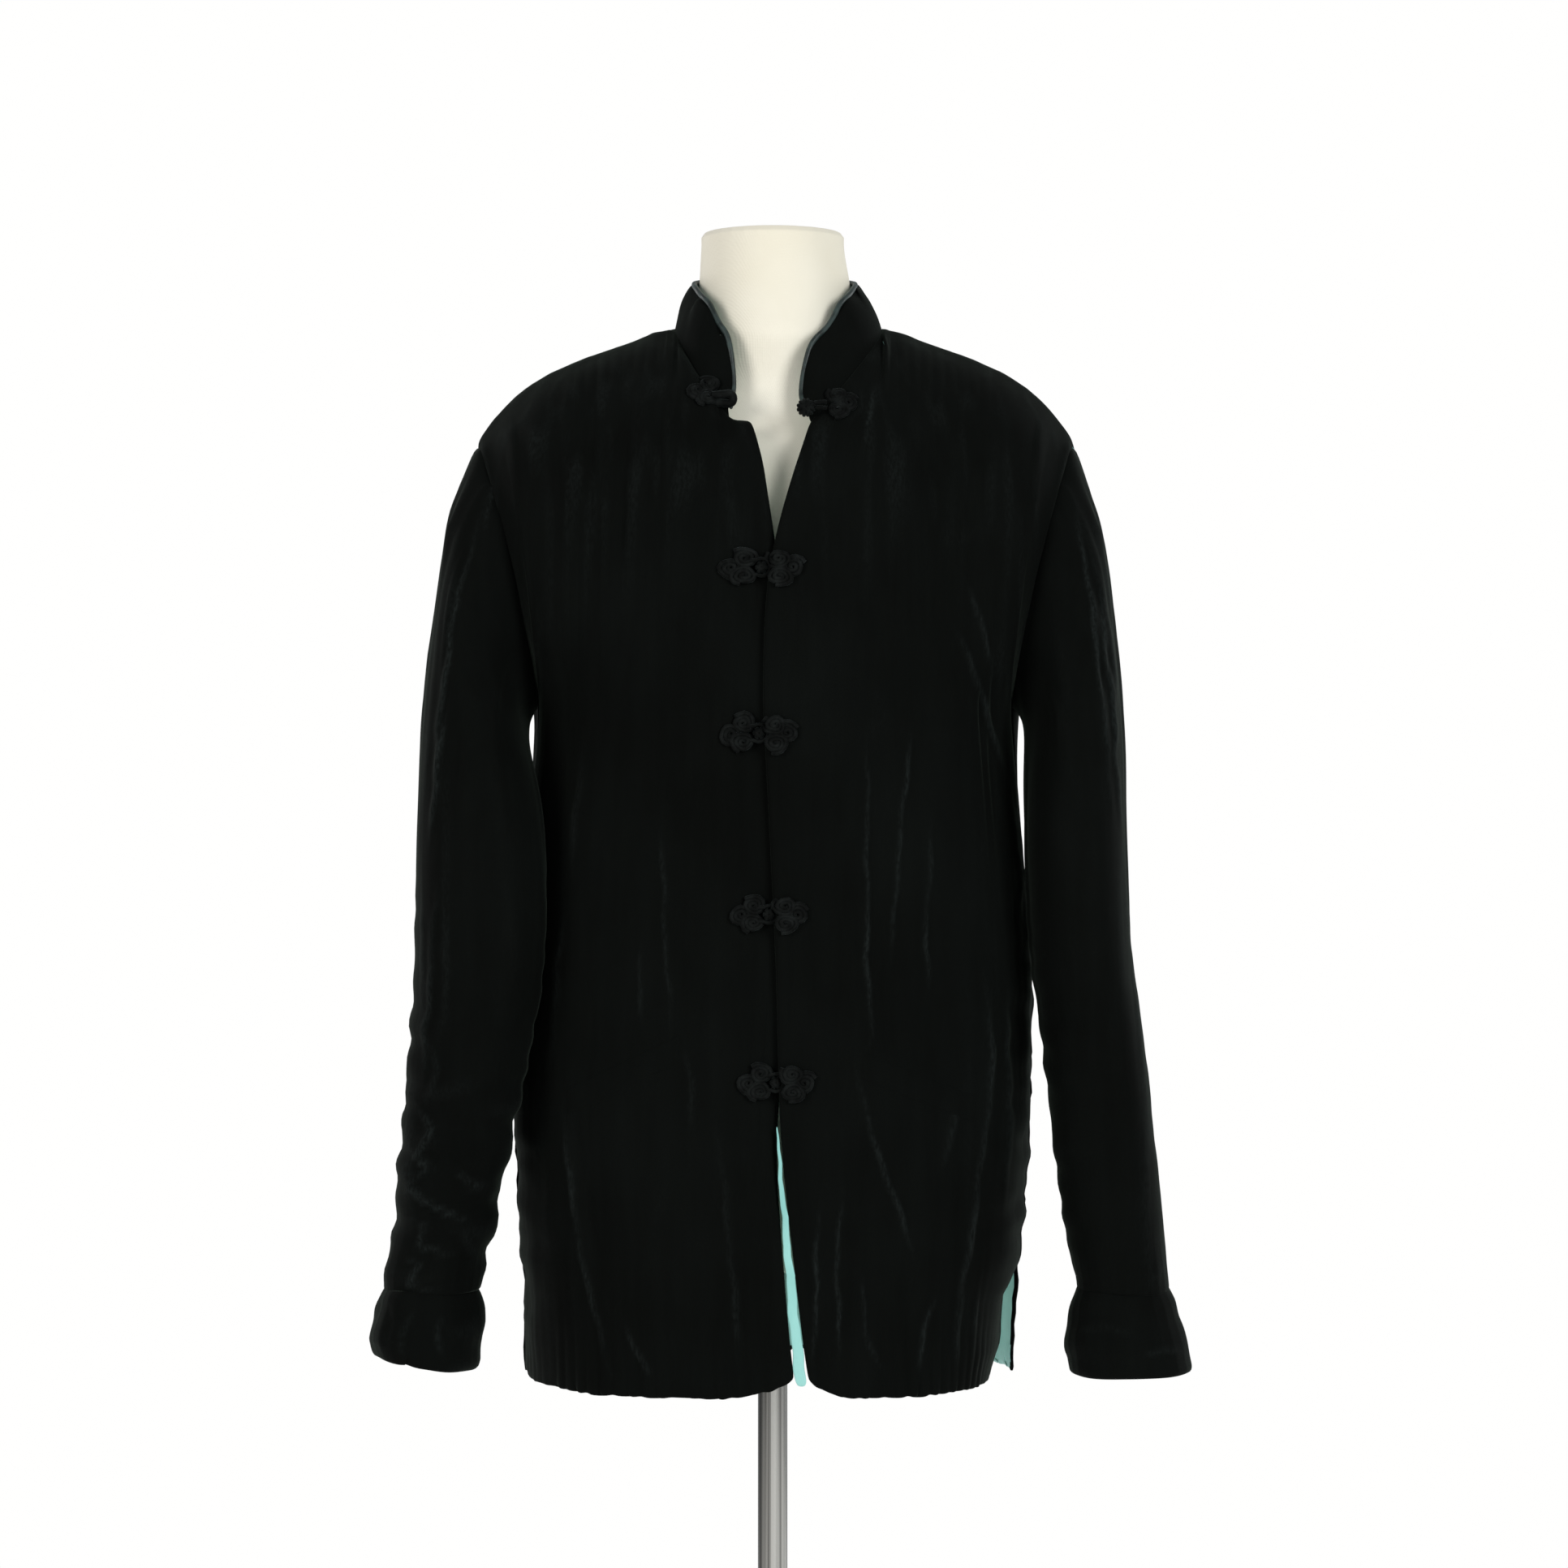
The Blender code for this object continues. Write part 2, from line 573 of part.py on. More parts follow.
def add_wall(group, name, finish, outer, inner, closed=False, full_rows=()):
    """A closed wall between a full grid of outer points and a sparser grid of inner points."""
    mesh = bmesh.new()
    row_count, column_count = outer.shape[:2]
    last = column_count if closed else column_count - 1

    def row_of(points, step):
        picks = [c for c in range(column_count) if c % step == 0 or (c == last and not closed)]
        made = [(c, mesh.verts.new(points[c])) for c in picks]
        return made + [(last, made[0][1])] if closed else made

    outer_rows = [row_of(points, 1) for points in outer]
    inner_rows = [row_of(points, 1 if r in full_rows else PLAIN_STEP) for r, points in enumerate(inner)]
    for rows in (outer_rows, inner_rows):
        for r in range(row_count - 1):
            face_strip(mesh, rows[r], rows[r + 1])
    for r in (0, row_count - 1):
        face_strip(mesh, outer_rows[r], inner_rows[r])
    if not closed:
        for end in (0, -1):
            for r in range(row_count - 1):
                corners = (outer_rows[r], outer_rows[r + 1], inner_rows[r + 1], inner_rows[r])
                mesh.faces.new([corner[end][1] for corner in corners])
    return finish_mesh(group, name, finish, mesh)


def finish_mesh(group, name, finish, mesh):
    bmesh.ops.recalc_face_normals(mesh, faces=mesh.faces[:])
    data = bpy.data.meshes.new(name)
    mesh.to_mesh(data)
    mesh.free()
    data.materials.append(material_for(name, finish))
    obj = bpy.data.objects.new(name, data)
    group.objects.link(obj)
    return obj


def seamed_inner(base, normals, ways, side):
    """Inner points of a half panel, with its side, armhole and top seams on their shared planes."""
    inner = base - normals * WALL
    low_count = len(LOW_ROWS)
    inner[: low_count + 1, -1] = base[: low_count + 1, -1] + np.array([-side * WALL, 0.0, 0.0])
    for step in range(ARM_ROWS + 1):
        way = armhole(math.pi * (1.0 - step / ARM_ROWS), side)[1].copy()
        if base[low_count + 1, -1, 1] > 0:
            way = armhole(-math.pi * (1.0 - step / ARM_ROWS), side)[1]
        inner[low_count + step, -1] = base[low_count + step, -1] + WALL * way
    inner[-1] = base[-1] + WALL * ways
    return inner


def underlap_cover(base):
    """Share of the under front that the over front covers, eased out past its edge."""
    edge = np.interp(base[..., 2], column(FRONT_EDGES, 0), column(FRONT_EDGES, 1))
    near = eased((base[..., 0] - edge + UNDERLAP_START) / (UNDERLAP_START - UNDERLAP_FULL))
    active = np.interp(base[..., 2], UNDERLAP_HEIGHTS, (0.0, 1.0, 1.0, 0.0))
    return near * active


def front_panel(group, name, side):
    base, ways = half_panel(side, -1)
    normals = surface_ways(base)
    fade = fade_at_seams(len(base))[:, None]
    fade = fade * (1.0 - (np.arange(base.shape[1]) == base.shape[1] - 1))
    base = base + normals * (fold_heights(base, FRONT_FOLDS) * fade)[..., None]
    cover = np.zeros(base.shape[:2])
    if side < 0:
        cover = underlap_cover(base)
        base = base - normals * (cover * UNDERLAP_DROP)[..., None]
    inner = seamed_inner(base, normals, ways, side)
    outer = quilted(base, normals, (-2, -4), 1.0 - cover)
    shoulder_start = base.shape[1] - 1 - SHOULDER_COLUMNS
    for points in (outer, inner):
        points[-1, shoulder_start:, 1] -= SEAM_GAP
        points[: len(LOW_ROWS) + 1, -1, 1] -= SEAM_GAP
    add_wall(group, name, "velvet", outer, inner, full_rows=(len(base) - 1,))
    return base + normals * (QUILT * (1.0 - cover))[..., None]


def back_panel(group):
    grids = []
    for side in (1, -1):
        base, ways = half_panel(side, 1)
        normals = surface_ways(base)
        fade = fade_at_seams(len(base))[:, None]
        fade = fade * (1.0 - (np.arange(base.shape[1]) == base.shape[1] - 1))
        base = base + normals * (fold_heights(base, BACK_FOLDS) * fade)[..., None]
        grids.append((quilted(base, normals, (-2, -4)), seamed_inner(base, normals, ways, side), base))
    outer, inner, base = [np.concatenate((a[:, ::-1], b[:, 1:]), axis=1) for a, b in zip(*grids)]
    add_wall(group, "back", "velvet", outer, inner, full_rows=(len(outer) - 1,))


def sleeve_ring(row, side):
    outer_x, outer_z, inner_x, inner_z, middle_y, half_depth = row
    angle = np.arange(SLEEVE_COLUMNS) * 2 * math.pi / SLEEVE_COLUMNS
    cosine = np.sign(np.cos(angle)) * np.abs(np.cos(angle)) ** (2 / FULLNESS)
    sine = np.sign(np.sin(angle)) * np.abs(np.sin(angle)) ** (2 / FULLNESS)
    x = side * ((outer_x + inner_x) / 2 + (outer_x - inner_x) / 2 * cosine)
    z = (outer_z + inner_z) / 2 + (outer_z - inner_z) / 2 * cosine
    return np.stack([x, middle_y - half_depth * sine, z], axis=1)


def clear_of_body(ring, clearance):
    """Moves points of a sleeve ring out of the body's section grown by the clearance."""
    ring = ring.copy()
    for point in ring:
        if point[2] > UNDERARM - UNDERARM_EASE[0]:
            continue
        half_width, front, back = section_sizes(point[2])
        middle = float(np.interp(point[2], column(MIDDLE, 0), column(MIDDLE, 1)))
        below = (UNDERARM + UNDERARM_EASE[0] - point[2]) / UNDERARM_EASE[1]
        grow = clearance * float(eased(below))
        depth = (front if point[1] < 0 else back) + grow
        share = 1.0 - (abs(point[1]) / depth) ** FULLNESS
        if share <= 0.0:
            continue
        reach = (half_width + grow) * share ** (1 / FULLNESS)
        out = point[0] - middle
        if abs(out) < reach:
            point[0] = middle + math.copysign(reach, out)
    return ring


def armhole_ring(side):
    """The sleeve's first ring: the armhole's seam points, moved out by the seam gap."""
    knots = 2 * ARM_ROWS
    angles = np.arange(knots) * 2 * math.pi / knots
    points = np.array([armhole(angle, side)[0] for angle in angles])
    ways = np.array([armhole(angle, side)[1] for angle in angles])
    along = np.roll(points, -1, axis=0) - np.roll(points, 1, axis=0)
    away = unit(np.cross(along, ways))
    away *= np.sign((away * np.array([side, 0.0, ARMHOLE_OUT])).sum(axis=1, keepdims=True))
    from_top = np.abs((angles + math.pi) % (2 * math.pi) - math.pi)
    below = eased((from_top - ARMHOLE_EASE[0]) / ARMHOLE_EASE[1])
    outer = points + away * (SEAM_GAP + ARMHOLE_EASE[2] * below)[:, None]
    inner = outer + ways * WALL
    share = np.arange(SLEEVE_COLUMNS) * knots / SLEEVE_COLUMNS
    low = share.astype(int)
    part = (share - low)[:, None]
    return [grid[low] * (1 - part) + grid[(low + 1) % knots] * part for grid in (outer, inner)]


def sleeve(group, name, cuff_name, side, rows, cuff_rows):
    seam_outer, seam_inner = armhole_ring(side)
    rings = [seam_outer] + [clear_of_body(sleeve_ring(row, side), SLEEVE_CLEARANCE) for row in rows]
    base = np.array(rings)[::-1]
    normals = surface_ways(base, closed=True)
    inner = base - normals * WALL
    inner[-1] = seam_inner
    outer = base.copy()
    keep = fade_at_seams(len(base))
    keep[0] = 0.0
    raised = np.outer(keep, np.arange(SLEEVE_COLUMNS) % 2)
    under = np.abs(np.arange(SLEEVE_COLUMNS) - SLEEVE_COLUMNS / 2) < SLEEVE_COLUMNS / UNDERARM_DIVISOR
    raised[-1 - UNDERARM_RINGS :, under] = 0.0
    outer += normals * (QUILT * raised)[..., None]
    add_wall(group, name, "velvet", outer, inner, closed=True, full_rows=(0, len(base) - 1))

    down = np.array([0.0, 0.0, -SEAM_GAP])
    first_outer = outer[0] + normals[0] * CUFF_STEP + down
    first_inner = inner[0] + down
    cuff = np.array([first_outer] + [sleeve_ring(row, side) for row in cuff_rows])[::-1]
    cuff_normals = surface_ways(cuff, closed=True)
    cuff_inner = cuff - cuff_normals * CUFF_WALL
    cuff_inner[-1] = first_inner
    cuff[:-1, 1::2] += cuff_normals[:-1, 1::2] * (QUILT * CUFF_QUILT_SHARE)
    add_wall(group, cuff_name, "velvet", cuff, cuff_inner, closed=True, full_rows=(len(cuff) - 1,))


def collar_angles():
    """Angles of the collar's columns with their side, from the under front round to the over front."""
    right = [(a, -1) for a in np.linspace(UNDER_NECK_START, math.pi / 2, UNDER_NECK_COLUMNS + 1)]
    right_back = [(a, -1) for a in np.linspace(math.pi / 2, math.pi, NECK_COLUMNS + 1)[1:]]
    left_back = [(a, 1) for a in np.linspace(math.pi, math.pi / 2, NECK_COLUMNS + 1)[1:]]
    left = [(a, 1) for a in np.linspace(math.pi / 2, OVER_NECK_START, NECK_COLUMNS + 1)[1:]]
    return right + right_back + left_back + left


def collar(group):
    angles = collar_angles()
    seam = np.array([neckline(angle, side) for angle, side in angles])
    ways = np.array([neck_inner_way(angle, side) for angle, side in angles])
    outwards = np.array([neck_outward(angle, side) for angle, side in angles])
    lift = unit(np.array([0.0, 0.0, NECK_LEAN[0]]) - NECK_LEAN[1] * outwards)
    bottom = seam + lift * SEAM_GAP
    upper = []
    for angle, side in angles:
        depth = COLLAR_FRONT if angle < math.pi / 2 else COLLAR_BACK
        start = OVER_NECK_START if side > 0 else UNDER_NECK_START
        corner = max(0.0, 1.0 - (angle - start) / COLLAR_CORNER_TURN) ** 2
        z = float(np.interp(math.degrees(angle), column(COLLAR_TOP, 0), column(COLLAR_TOP, 1)))
        x = COLLAR_MIDDLE[0] + side * COLLAR_HALF_WIDTH * math.sin(angle)
        upper.append((x, COLLAR_MIDDLE[1] - depth * math.cos(angle), z - COLLAR_CORNER_DROP * corner))
    upper = np.array(upper)
    rows = []
    for step in range(COLLAR_ROWS + 1):
        share = step / COLLAR_ROWS
        bulge = COLLAR_BULGE * math.sin(math.pi * share)
        rows.append(bottom + (upper - bottom) * share + outwards * bulge)
    outer = np.array(rows)
    normals = surface_ways(outer)
    inner = outer - normals * COLLAR_WALL
    inner[0] = bottom + ways * WALL
    add_wall(group, "collar", "velvet", outer, inner, full_rows=(0,))
    return outer, inner


def collar_binding(group, outer, inner):
    """A narrow roll of the lining along the collar's front and upper edges."""
    middle = (outer + inner) / 2
    wall_way = unit(outer - inner)
    path = np.concatenate((middle[1:-1, 0], middle[-1], middle[-2:0:-1, -1]))
    across = np.concatenate((wall_way[1:-1, 0], wall_way[-1], wall_way[-2:0:-1, -1]))
    edge_way = unit(np.cross(np.gradient(path, axis=0), across))
    upward = edge_way[len(edge_way) // 2, 2]
    edge_way *= math.copysign(1.0, upward)
    path = path + edge_way * (BINDING_RADIUS + BINDING_GAP)
    curve = bpy.data.curves.new("collar_binding", "CURVE")
    curve.dimensions = "3D"
    curve.bevel_depth = BINDING_RADIUS
    curve.bevel_resolution = 0
    curve.use_fill_caps = True
    spline = curve.splines.new("POLY")
    spline.points.add(len(path) - 1)
    for point, place in zip(spline.points, path):
        point.co = (*place, 1.0)
    curve.materials.append(material_for("collar_binding", "lining"))
    obj = bpy.data.objects.new("collar_binding", curve)
    group.objects.link(obj)


def grid_tree(*grids):
    """A search tree over grids of points, to lay pieces on them."""
    vertices = []
    faces = []
    for grid in grids:
        start = len(vertices)
        rows, columns = grid.shape[:2]
        vertices += [Vector(p) for p in grid.reshape(-1, 3)]
        for r in range(rows - 1):
            for c in range(columns - 1):
                a = start + r * columns + c
                faces.append((a, a + 1, a + columns + 1, a + columns))
    return BVHTree.FromPolygons(vertices, faces)


def laid_on(tree, x, z, height):
    """The point at a height over the cloth, straight behind (x, z) as the front is faced."""
    place, normal, _, _ = tree.ray_cast(Vector((x, -1.0, z)), Vector((0.0, 1.0, 0.0)))
    if place is None:
        place, normal, _, _ = tree.find_nearest(Vector((x, FRONT_DEPTH, z)))
        place = Vector((x, place.y, z))
    if normal.y > 0:
        normal = -normal
    return place + normal * (SEAM_GAP + height)


def front_edge_lining(group):
    """The over front's lining, turned out along the lower part of its edge."""
    corner = HEM + CENTRE_CORNER[0]
    heights = [corner - LINING_LIFT, LOW_ROWS[0], LOW_ROWS[1]]
    heights += [LINING_HEIGHTS[0], LOW_ROWS[2], LINING_HEIGHTS[1]]
    rows = [HEM] + list(LOW_ROWS)
    edges = []
    for index in (1, 2):
        edge = np.interp(rows, column(FRONT_EDGES, 0), column(FRONT_EDGES, index))
        edges.append(np.interp(heights, [corner] + list(LOW_ROWS), edge))
    over, under = edges
    outer = []
    inner = []
    for z, right, left in zip(heights, over, under):
        front = section_sizes(z)[1]
        places = np.linspace(left + LINING_INSETS[0], right - LINING_INSETS[1], 3)
        outer.append([(x, -front + LINING_DEPTHS[0], z) for x in places])
        inner.append([(x, -front + LINING_DEPTHS[1], z) for x in places])
    every_row = range(len(heights))
    add_wall(group, "front_edge_lining", "lining", np.array(outer), np.array(inner), full_rows=every_row)


def pocket_welt(group, name, tree):
    inner_x, inner_z, outer_x, outer_z = WELTS[name]
    grids = []
    for height in (WELT_THICKNESS, 0.0):
        rows = []
        for drop in np.linspace(WELT_WIDTH, 0.0, WELT_GRID[0]):
            places = []
            for share in np.linspace(0.0, 1.0, WELT_GRID[1]):
                x = inner_x + (outer_x - inner_x) * share
                z = inner_z + (outer_z - inner_z) * share - drop
                places.append(laid_on(tree, x, z, height + WELT_LIFT))
            rows.append(places)
        grids.append(np.array(rows, dtype=float))
    add_wall(group, name, "velvet", grids[0], grids[1], full_rows=range(WELT_GRID[0]))


def pad(group, name, tree, x, z, half_width, half_height, facing, lift):
    """A three-lobed pad of coiled cord: a low rim, a raised ring and a dip in the middle."""
    mesh = bmesh.new()
    rows = []
    for share, height in PAD_RINGS:
        row = []
        for index in range(PAD_COLUMNS):
            turn = 2 * math.pi * index / PAD_COLUMNS
            lobe = (1.0 + PAD_LOBE * math.cos(3 * turn)) / (1.0 + PAD_LOBE)
            across = share * lobe * half_width * math.cos(turn) * facing
            up = share * lobe * half_height * PAD_STRETCH * math.sin(turn)
            row.append(mesh.verts.new(laid_on(tree, x + across, z + up, lift + height * PAD_HEIGHT)))
        rows.append(row)
    for lower, upper in zip(rows, rows[1:]):
        for index in range(PAD_COLUMNS):
            after = (index + 1) % PAD_COLUMNS
            mesh.faces.new((lower[index], lower[after], upper[after], upper[index]))
    for row, height in ((rows[0], 0.0), (rows[-1], 0.5)):
        middle = mesh.verts.new(laid_on(tree, x, z, lift + height * PAD_HEIGHT))
        for index in range(PAD_COLUMNS):
            mesh.faces.new((row[index], row[(index + 1) % PAD_COLUMNS], middle))
    obj = finish_mesh(group, name, "velvet", mesh)
    return BVHTree.FromPolygons([v.co for v in obj.data.vertices], [p.vertices for p in obj.data.polygons])


def knot(group, name, x, z, radius, trees):
    """A ball brought back from the front until it lies on the nearest of the pieces behind it."""
    place = Vector((x, KNOT_START, z))
    for _ in range(KNOT_STEPS):
        place.y += 0.5 * (min(tree.find_nearest(place)[3] for tree in trees) - radius - BALL_GAP)
    mesh = bmesh.new()
    bmesh.ops.create_uvsphere(mesh, u_segments=KNOT_FACETS[0], v_segments=KNOT_FACETS[1], radius=radius)
    bmesh.ops.translate(mesh, verts=mesh.verts[:], vec=place)
    finish_mesh(group, name, "velvet", mesh)


def frogs(group, over_tree, under_tree):
    inner_share = (1.0 - PAD_LOBE) / (1.0 + PAD_LOBE)
    for name, x, z, span, height in FROGS:
        half = (span / 2 - PAD_TIP) / (1.0 + inner_share)
        reach = PAD_TIP + half * inner_share
        tall = height / 2
        knot_pad = pad(group, name + "_knot_pad", over_tree, x + reach, z, half, tall, 1, PAD_LIFT)
        loop_pad = pad(group, name + "_loop_pad", under_tree, x - reach, z, half, tall, -1, LOOP_PAD_LIFT)
        knot(group, name + "_knot", x, z, KNOT_RADIUS, (knot_pad, loop_pad, over_tree))


def collar_frog(group, collar_outer, over, under):
    for side, facing, front, end in (("left", 1, over, "knot"), ("right", -1, under, "loop")):
        tree = grid_tree(collar_outer, front)
        pad_x, pad_z, end_x, end_z = COLLAR_FROG[side]
        laid = pad(group, "collar_pad_" + side, tree, pad_x, pad_z, *COLLAR_PAD, facing, COLLAR_LIFT)
        radius = KNOT_RADIUS if end == "knot" else KNOT_RADIUS * LOOP_END_SHARE
        knot(group, "collar_" + end, end_x, end_z, radius, (laid, tree))


def dress_form(group):
    """A smooth limbless torso: sections joined from the hips to the flat top of the neck."""
    mesh = bmesh.new()
    rows = []
    for z, middle, middle_y, half_width, front, back, neck in FORM:
        row = []
        for index in range(FORM_COLUMNS):
            turn = 2 * math.pi * index / FORM_COLUMNS
            depth = front if math.sin(turn) < 0 else back
            spread = half_width if neck == 0.0 else (half_width + neck) / 2
            angle = math.atan2(max(depth, neck) * math.sin(turn), spread * math.cos(turn))
            torso = 1.0 / math.hypot(math.cos(angle) / half_width, math.sin(angle) / depth)
            reach = (torso**NECK_BLEND + neck**NECK_BLEND) ** (1 / NECK_BLEND)
            place = (middle + reach * math.cos(angle), middle_y + reach * math.sin(angle), z)
            row.append(mesh.verts.new(place))
        rows.append(row)
    for lower, upper in zip(rows, rows[1:]):
        for index in range(FORM_COLUMNS):
            after = (index + 1) % FORM_COLUMNS
            mesh.faces.new((lower[index], lower[after], upper[after], upper[index]))
    mesh.faces.new(rows[0])
    mesh.faces.new(rows[-1])
    obj = finish_mesh(group, "dress_form", "form_cloth", mesh)
    obj.data.shade_smooth()


def turned(group, name, finish, profile, steps):
    """A turned piece: its profile runs down its outer side from the axis to the axis."""
    data = bpy.data.meshes.new(name)
    data.from_pydata([(r, 0.0, z) for r, z in profile], [(i, i + 1) for i in range(len(profile) - 1)], [])
    data.materials.append(material_for(name, finish))
    obj = bpy.data.objects.new(name, data)
    group.objects.link(obj)
    screw = obj.modifiers.new("Turn", "SCREW")
    screw.axis = "Z"
    screw.steps = steps
    screw.render_steps = steps
    screw.use_merge_vertices = True
    screw.merge_threshold = 0.0001
    return obj


def stand(group):
    flange_top = FORM[0][0] - SEAM_GAP
    flange_under = flange_top - FLANGE_THICKNESS
    pole_foot = HUB_TOP + SEAM_GAP
    turned(
        group,
        "pole",
        "chrome",
        (
            (0.0, flange_top),
            (FLANGE_RADIUS, flange_top),
            (FLANGE_RADIUS, flange_under),
            (POLE_RADIUS, flange_under - FLANGE_NECK),
            (POLE_RADIUS, pole_foot),
            (0.0, pole_foot),
        ),
        POLE_STEPS,
    )
    turned(
        group,
        "stand_base",
        "painted_steel",
        (
            (0.0, HUB_TOP),
            (HUB_RADIUS - HUB_CHAMFER, HUB_TOP),
            (HUB_RADIUS, HUB_TOP - HUB_CHAMFER),
            (HUB_RADIUS, BASE_EDGE + BASE_RISE),
            (BASE_RADIUS - BASE_CHAMFER, BASE_EDGE),
            (BASE_RADIUS, BASE_EDGE - BASE_CHAMFER),
            (BASE_RADIUS, 0.0),
            (0.0, 0.0),
        ),
        BASE_STEPS,
    )


def main():
    clear_scene()
    group = collection_named("quilted_jacket_on_dress_form")
    over = front_panel(group, "front_left", 1)
    under = front_panel(group, "front_right", -1)
    back_panel(group)
    sleeve(group, "sleeve_right", "cuff_right", -1, RIGHT_SLEEVE, RIGHT_CUFF)
    sleeve(group, "sleeve_left", "cuff_left", 1, LEFT_SLEEVE, LEFT_CUFF)
    collar_outer, collar_inner = collar(group)
    collar_binding(group, collar_outer, collar_inner)
    front_edge_lining(group)
    over_tree = grid_tree(over)
    under_tree = grid_tree(under)
    pocket_welt(group, "welt_left", over_tree)
    pocket_welt(group, "welt_right", under_tree)
    frogs(group, over_tree, under_tree)
    collar_frog(group, collar_outer, over, under)
    dress_form(group)
    stand(group)


main()
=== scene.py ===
import math

import bmesh
import bpy
import numpy as np
from mathutils import Matrix, Vector, noise
from mathutils.bvhtree import BVHTree


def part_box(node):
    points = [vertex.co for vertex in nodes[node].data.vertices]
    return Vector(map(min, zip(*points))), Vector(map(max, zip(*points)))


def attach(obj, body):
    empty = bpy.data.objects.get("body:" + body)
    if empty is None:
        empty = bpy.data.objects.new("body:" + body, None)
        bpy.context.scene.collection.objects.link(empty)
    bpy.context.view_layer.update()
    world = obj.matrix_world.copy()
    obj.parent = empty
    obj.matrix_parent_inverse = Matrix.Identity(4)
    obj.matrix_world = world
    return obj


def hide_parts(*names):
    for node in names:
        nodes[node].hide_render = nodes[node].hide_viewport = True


# A quilted velvet jacket with a stand collar, on a limbless dress form. Metres, +Z up, front to -Y.

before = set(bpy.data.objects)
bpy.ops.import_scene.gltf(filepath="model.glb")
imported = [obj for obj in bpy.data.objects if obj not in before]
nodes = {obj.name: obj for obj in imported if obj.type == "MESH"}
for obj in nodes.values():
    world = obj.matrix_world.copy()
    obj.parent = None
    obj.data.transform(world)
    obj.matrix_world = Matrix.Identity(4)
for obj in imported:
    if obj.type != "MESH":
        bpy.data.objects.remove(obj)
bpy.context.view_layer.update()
print("frame loaded:", len(nodes), "nodes")


# Shader sockets with the usual operators

class Wire:
    def __init__(self, tree, socket):
        self.tree = tree
        self.socket = socket

    def step(self, operation, other, swapped=False):
        node = self.tree.nodes.new("ShaderNodeMath")
        node.operation = operation
        pair = (other, self) if swapped else (self, other)
        for slot, value in zip(node.inputs, pair):
            if isinstance(value, Wire):
                self.tree.links.new(value.socket, slot)
            else:
                slot.default_value = value
        return Wire(self.tree, node.outputs[0])

    def __add__(self, other):
        return self.step("ADD", other)

    def __radd__(self, other):
        return self.step("ADD", other, True)

    def __mul__(self, other):
        return self.step("MULTIPLY", other)

    def __rmul__(self, other):
        return self.step("MULTIPLY", other, True)


class Finish:  # one material and its nodes
    def __init__(self, name, values):
        self.material = bpy.data.materials.new(name)
        self.material.use_nodes = True
        self.tree = self.material.node_tree
        self.shader = self.tree.nodes["Principled BSDF"]
        for key, value in values.items():
            self.shader.inputs[key].default_value = value

    def make(self, kind, settings, inputs, output=0):
        node = self.tree.nodes.new(kind)
        for key, value in settings.items():
            if key == "stops":
                self.setStops(node.color_ramp, value)
            else:
                setattr(node, key, value)
        for key, value in inputs.items():
            if isinstance(value, Wire):
                self.tree.links.new(value.socket, node.inputs[key])
            else:
                node.inputs[key].default_value = value
        return Wire(self.tree, node.outputs[output])

    def setStops(self, ramp, stops):
        while len(ramp.elements) < len(stops):
            ramp.elements.new(1.0)
        for element, (place, value) in zip(ramp.elements, stops):
            element.position = place
            element.color = (value, value, value, 1.0)

    def place(self):
        return self.make("ShaderNodeTexCoord", {}, {}, "Object")

    def stretched(self, scale):
        return self.make("ShaderNodeMapping", {}, {"Vector": self.place(), "Scale": scale})

    def noise(self, where, scale, detail, rough=0.5):
        return self.make("ShaderNodeTexNoise", {}, {"Vector": where, "Scale": scale, "Detail": detail,
                                                    "Roughness": rough}, "Fac")

    def attribute(self, name):
        return self.make("ShaderNodeAttribute", {"attribute_name": name}, {}, "Fac")

    def ramp(self, factor, stops):
        return self.make("ShaderNodeValToRGB", {"stops": stops}, {"Fac": factor}, "Color")

    def mix(self, factor, first, second):
        node = self.tree.nodes.new("ShaderNodeMix")
        node.data_type = "RGBA"
        for key, value in (("Factor_Float", factor), ("A_Color", first), ("B_Color", second)):
            slot = next(s for s in node.inputs if s.identifier == key)
            if isinstance(value, Wire):
                self.tree.links.new(value.socket, slot)
            else:
                slot.default_value = value
        return Wire(self.tree, next(s for s in node.outputs if s.identifier == "Result_Color"))

    def feed(self, key, wire):
        self.tree.links.new(wire.socket, self.shader.inputs[key])

    def bump(self, height, strength, distance):
        self.feed("Normal", self.make("ShaderNodeBump", {}, {"Height": height, "Strength": strength,
                                                             "Distance": distance}, "Normal"))


velvetLook = {
    "deep": (0.0013, 0.0018, 0.0013, 1.0),
    "brushed": (0.0034, 0.0045, 0.0038, 1.0),
    # colour of the painted sheen along ridges and the sides, with some crushed pile
    "worn": (0.0150, 0.0190, 0.0180, 1.0),
    "sheen": 0.19,
    "sheenRoughness": 0.26,
    "sheenTint": (0.32, 0.42, 0.33, 1.0),
    "patchScale": 11.0,
    "streakScale": (70.0, 70.0, 9.0),
    "napScale": 2600.0,
}


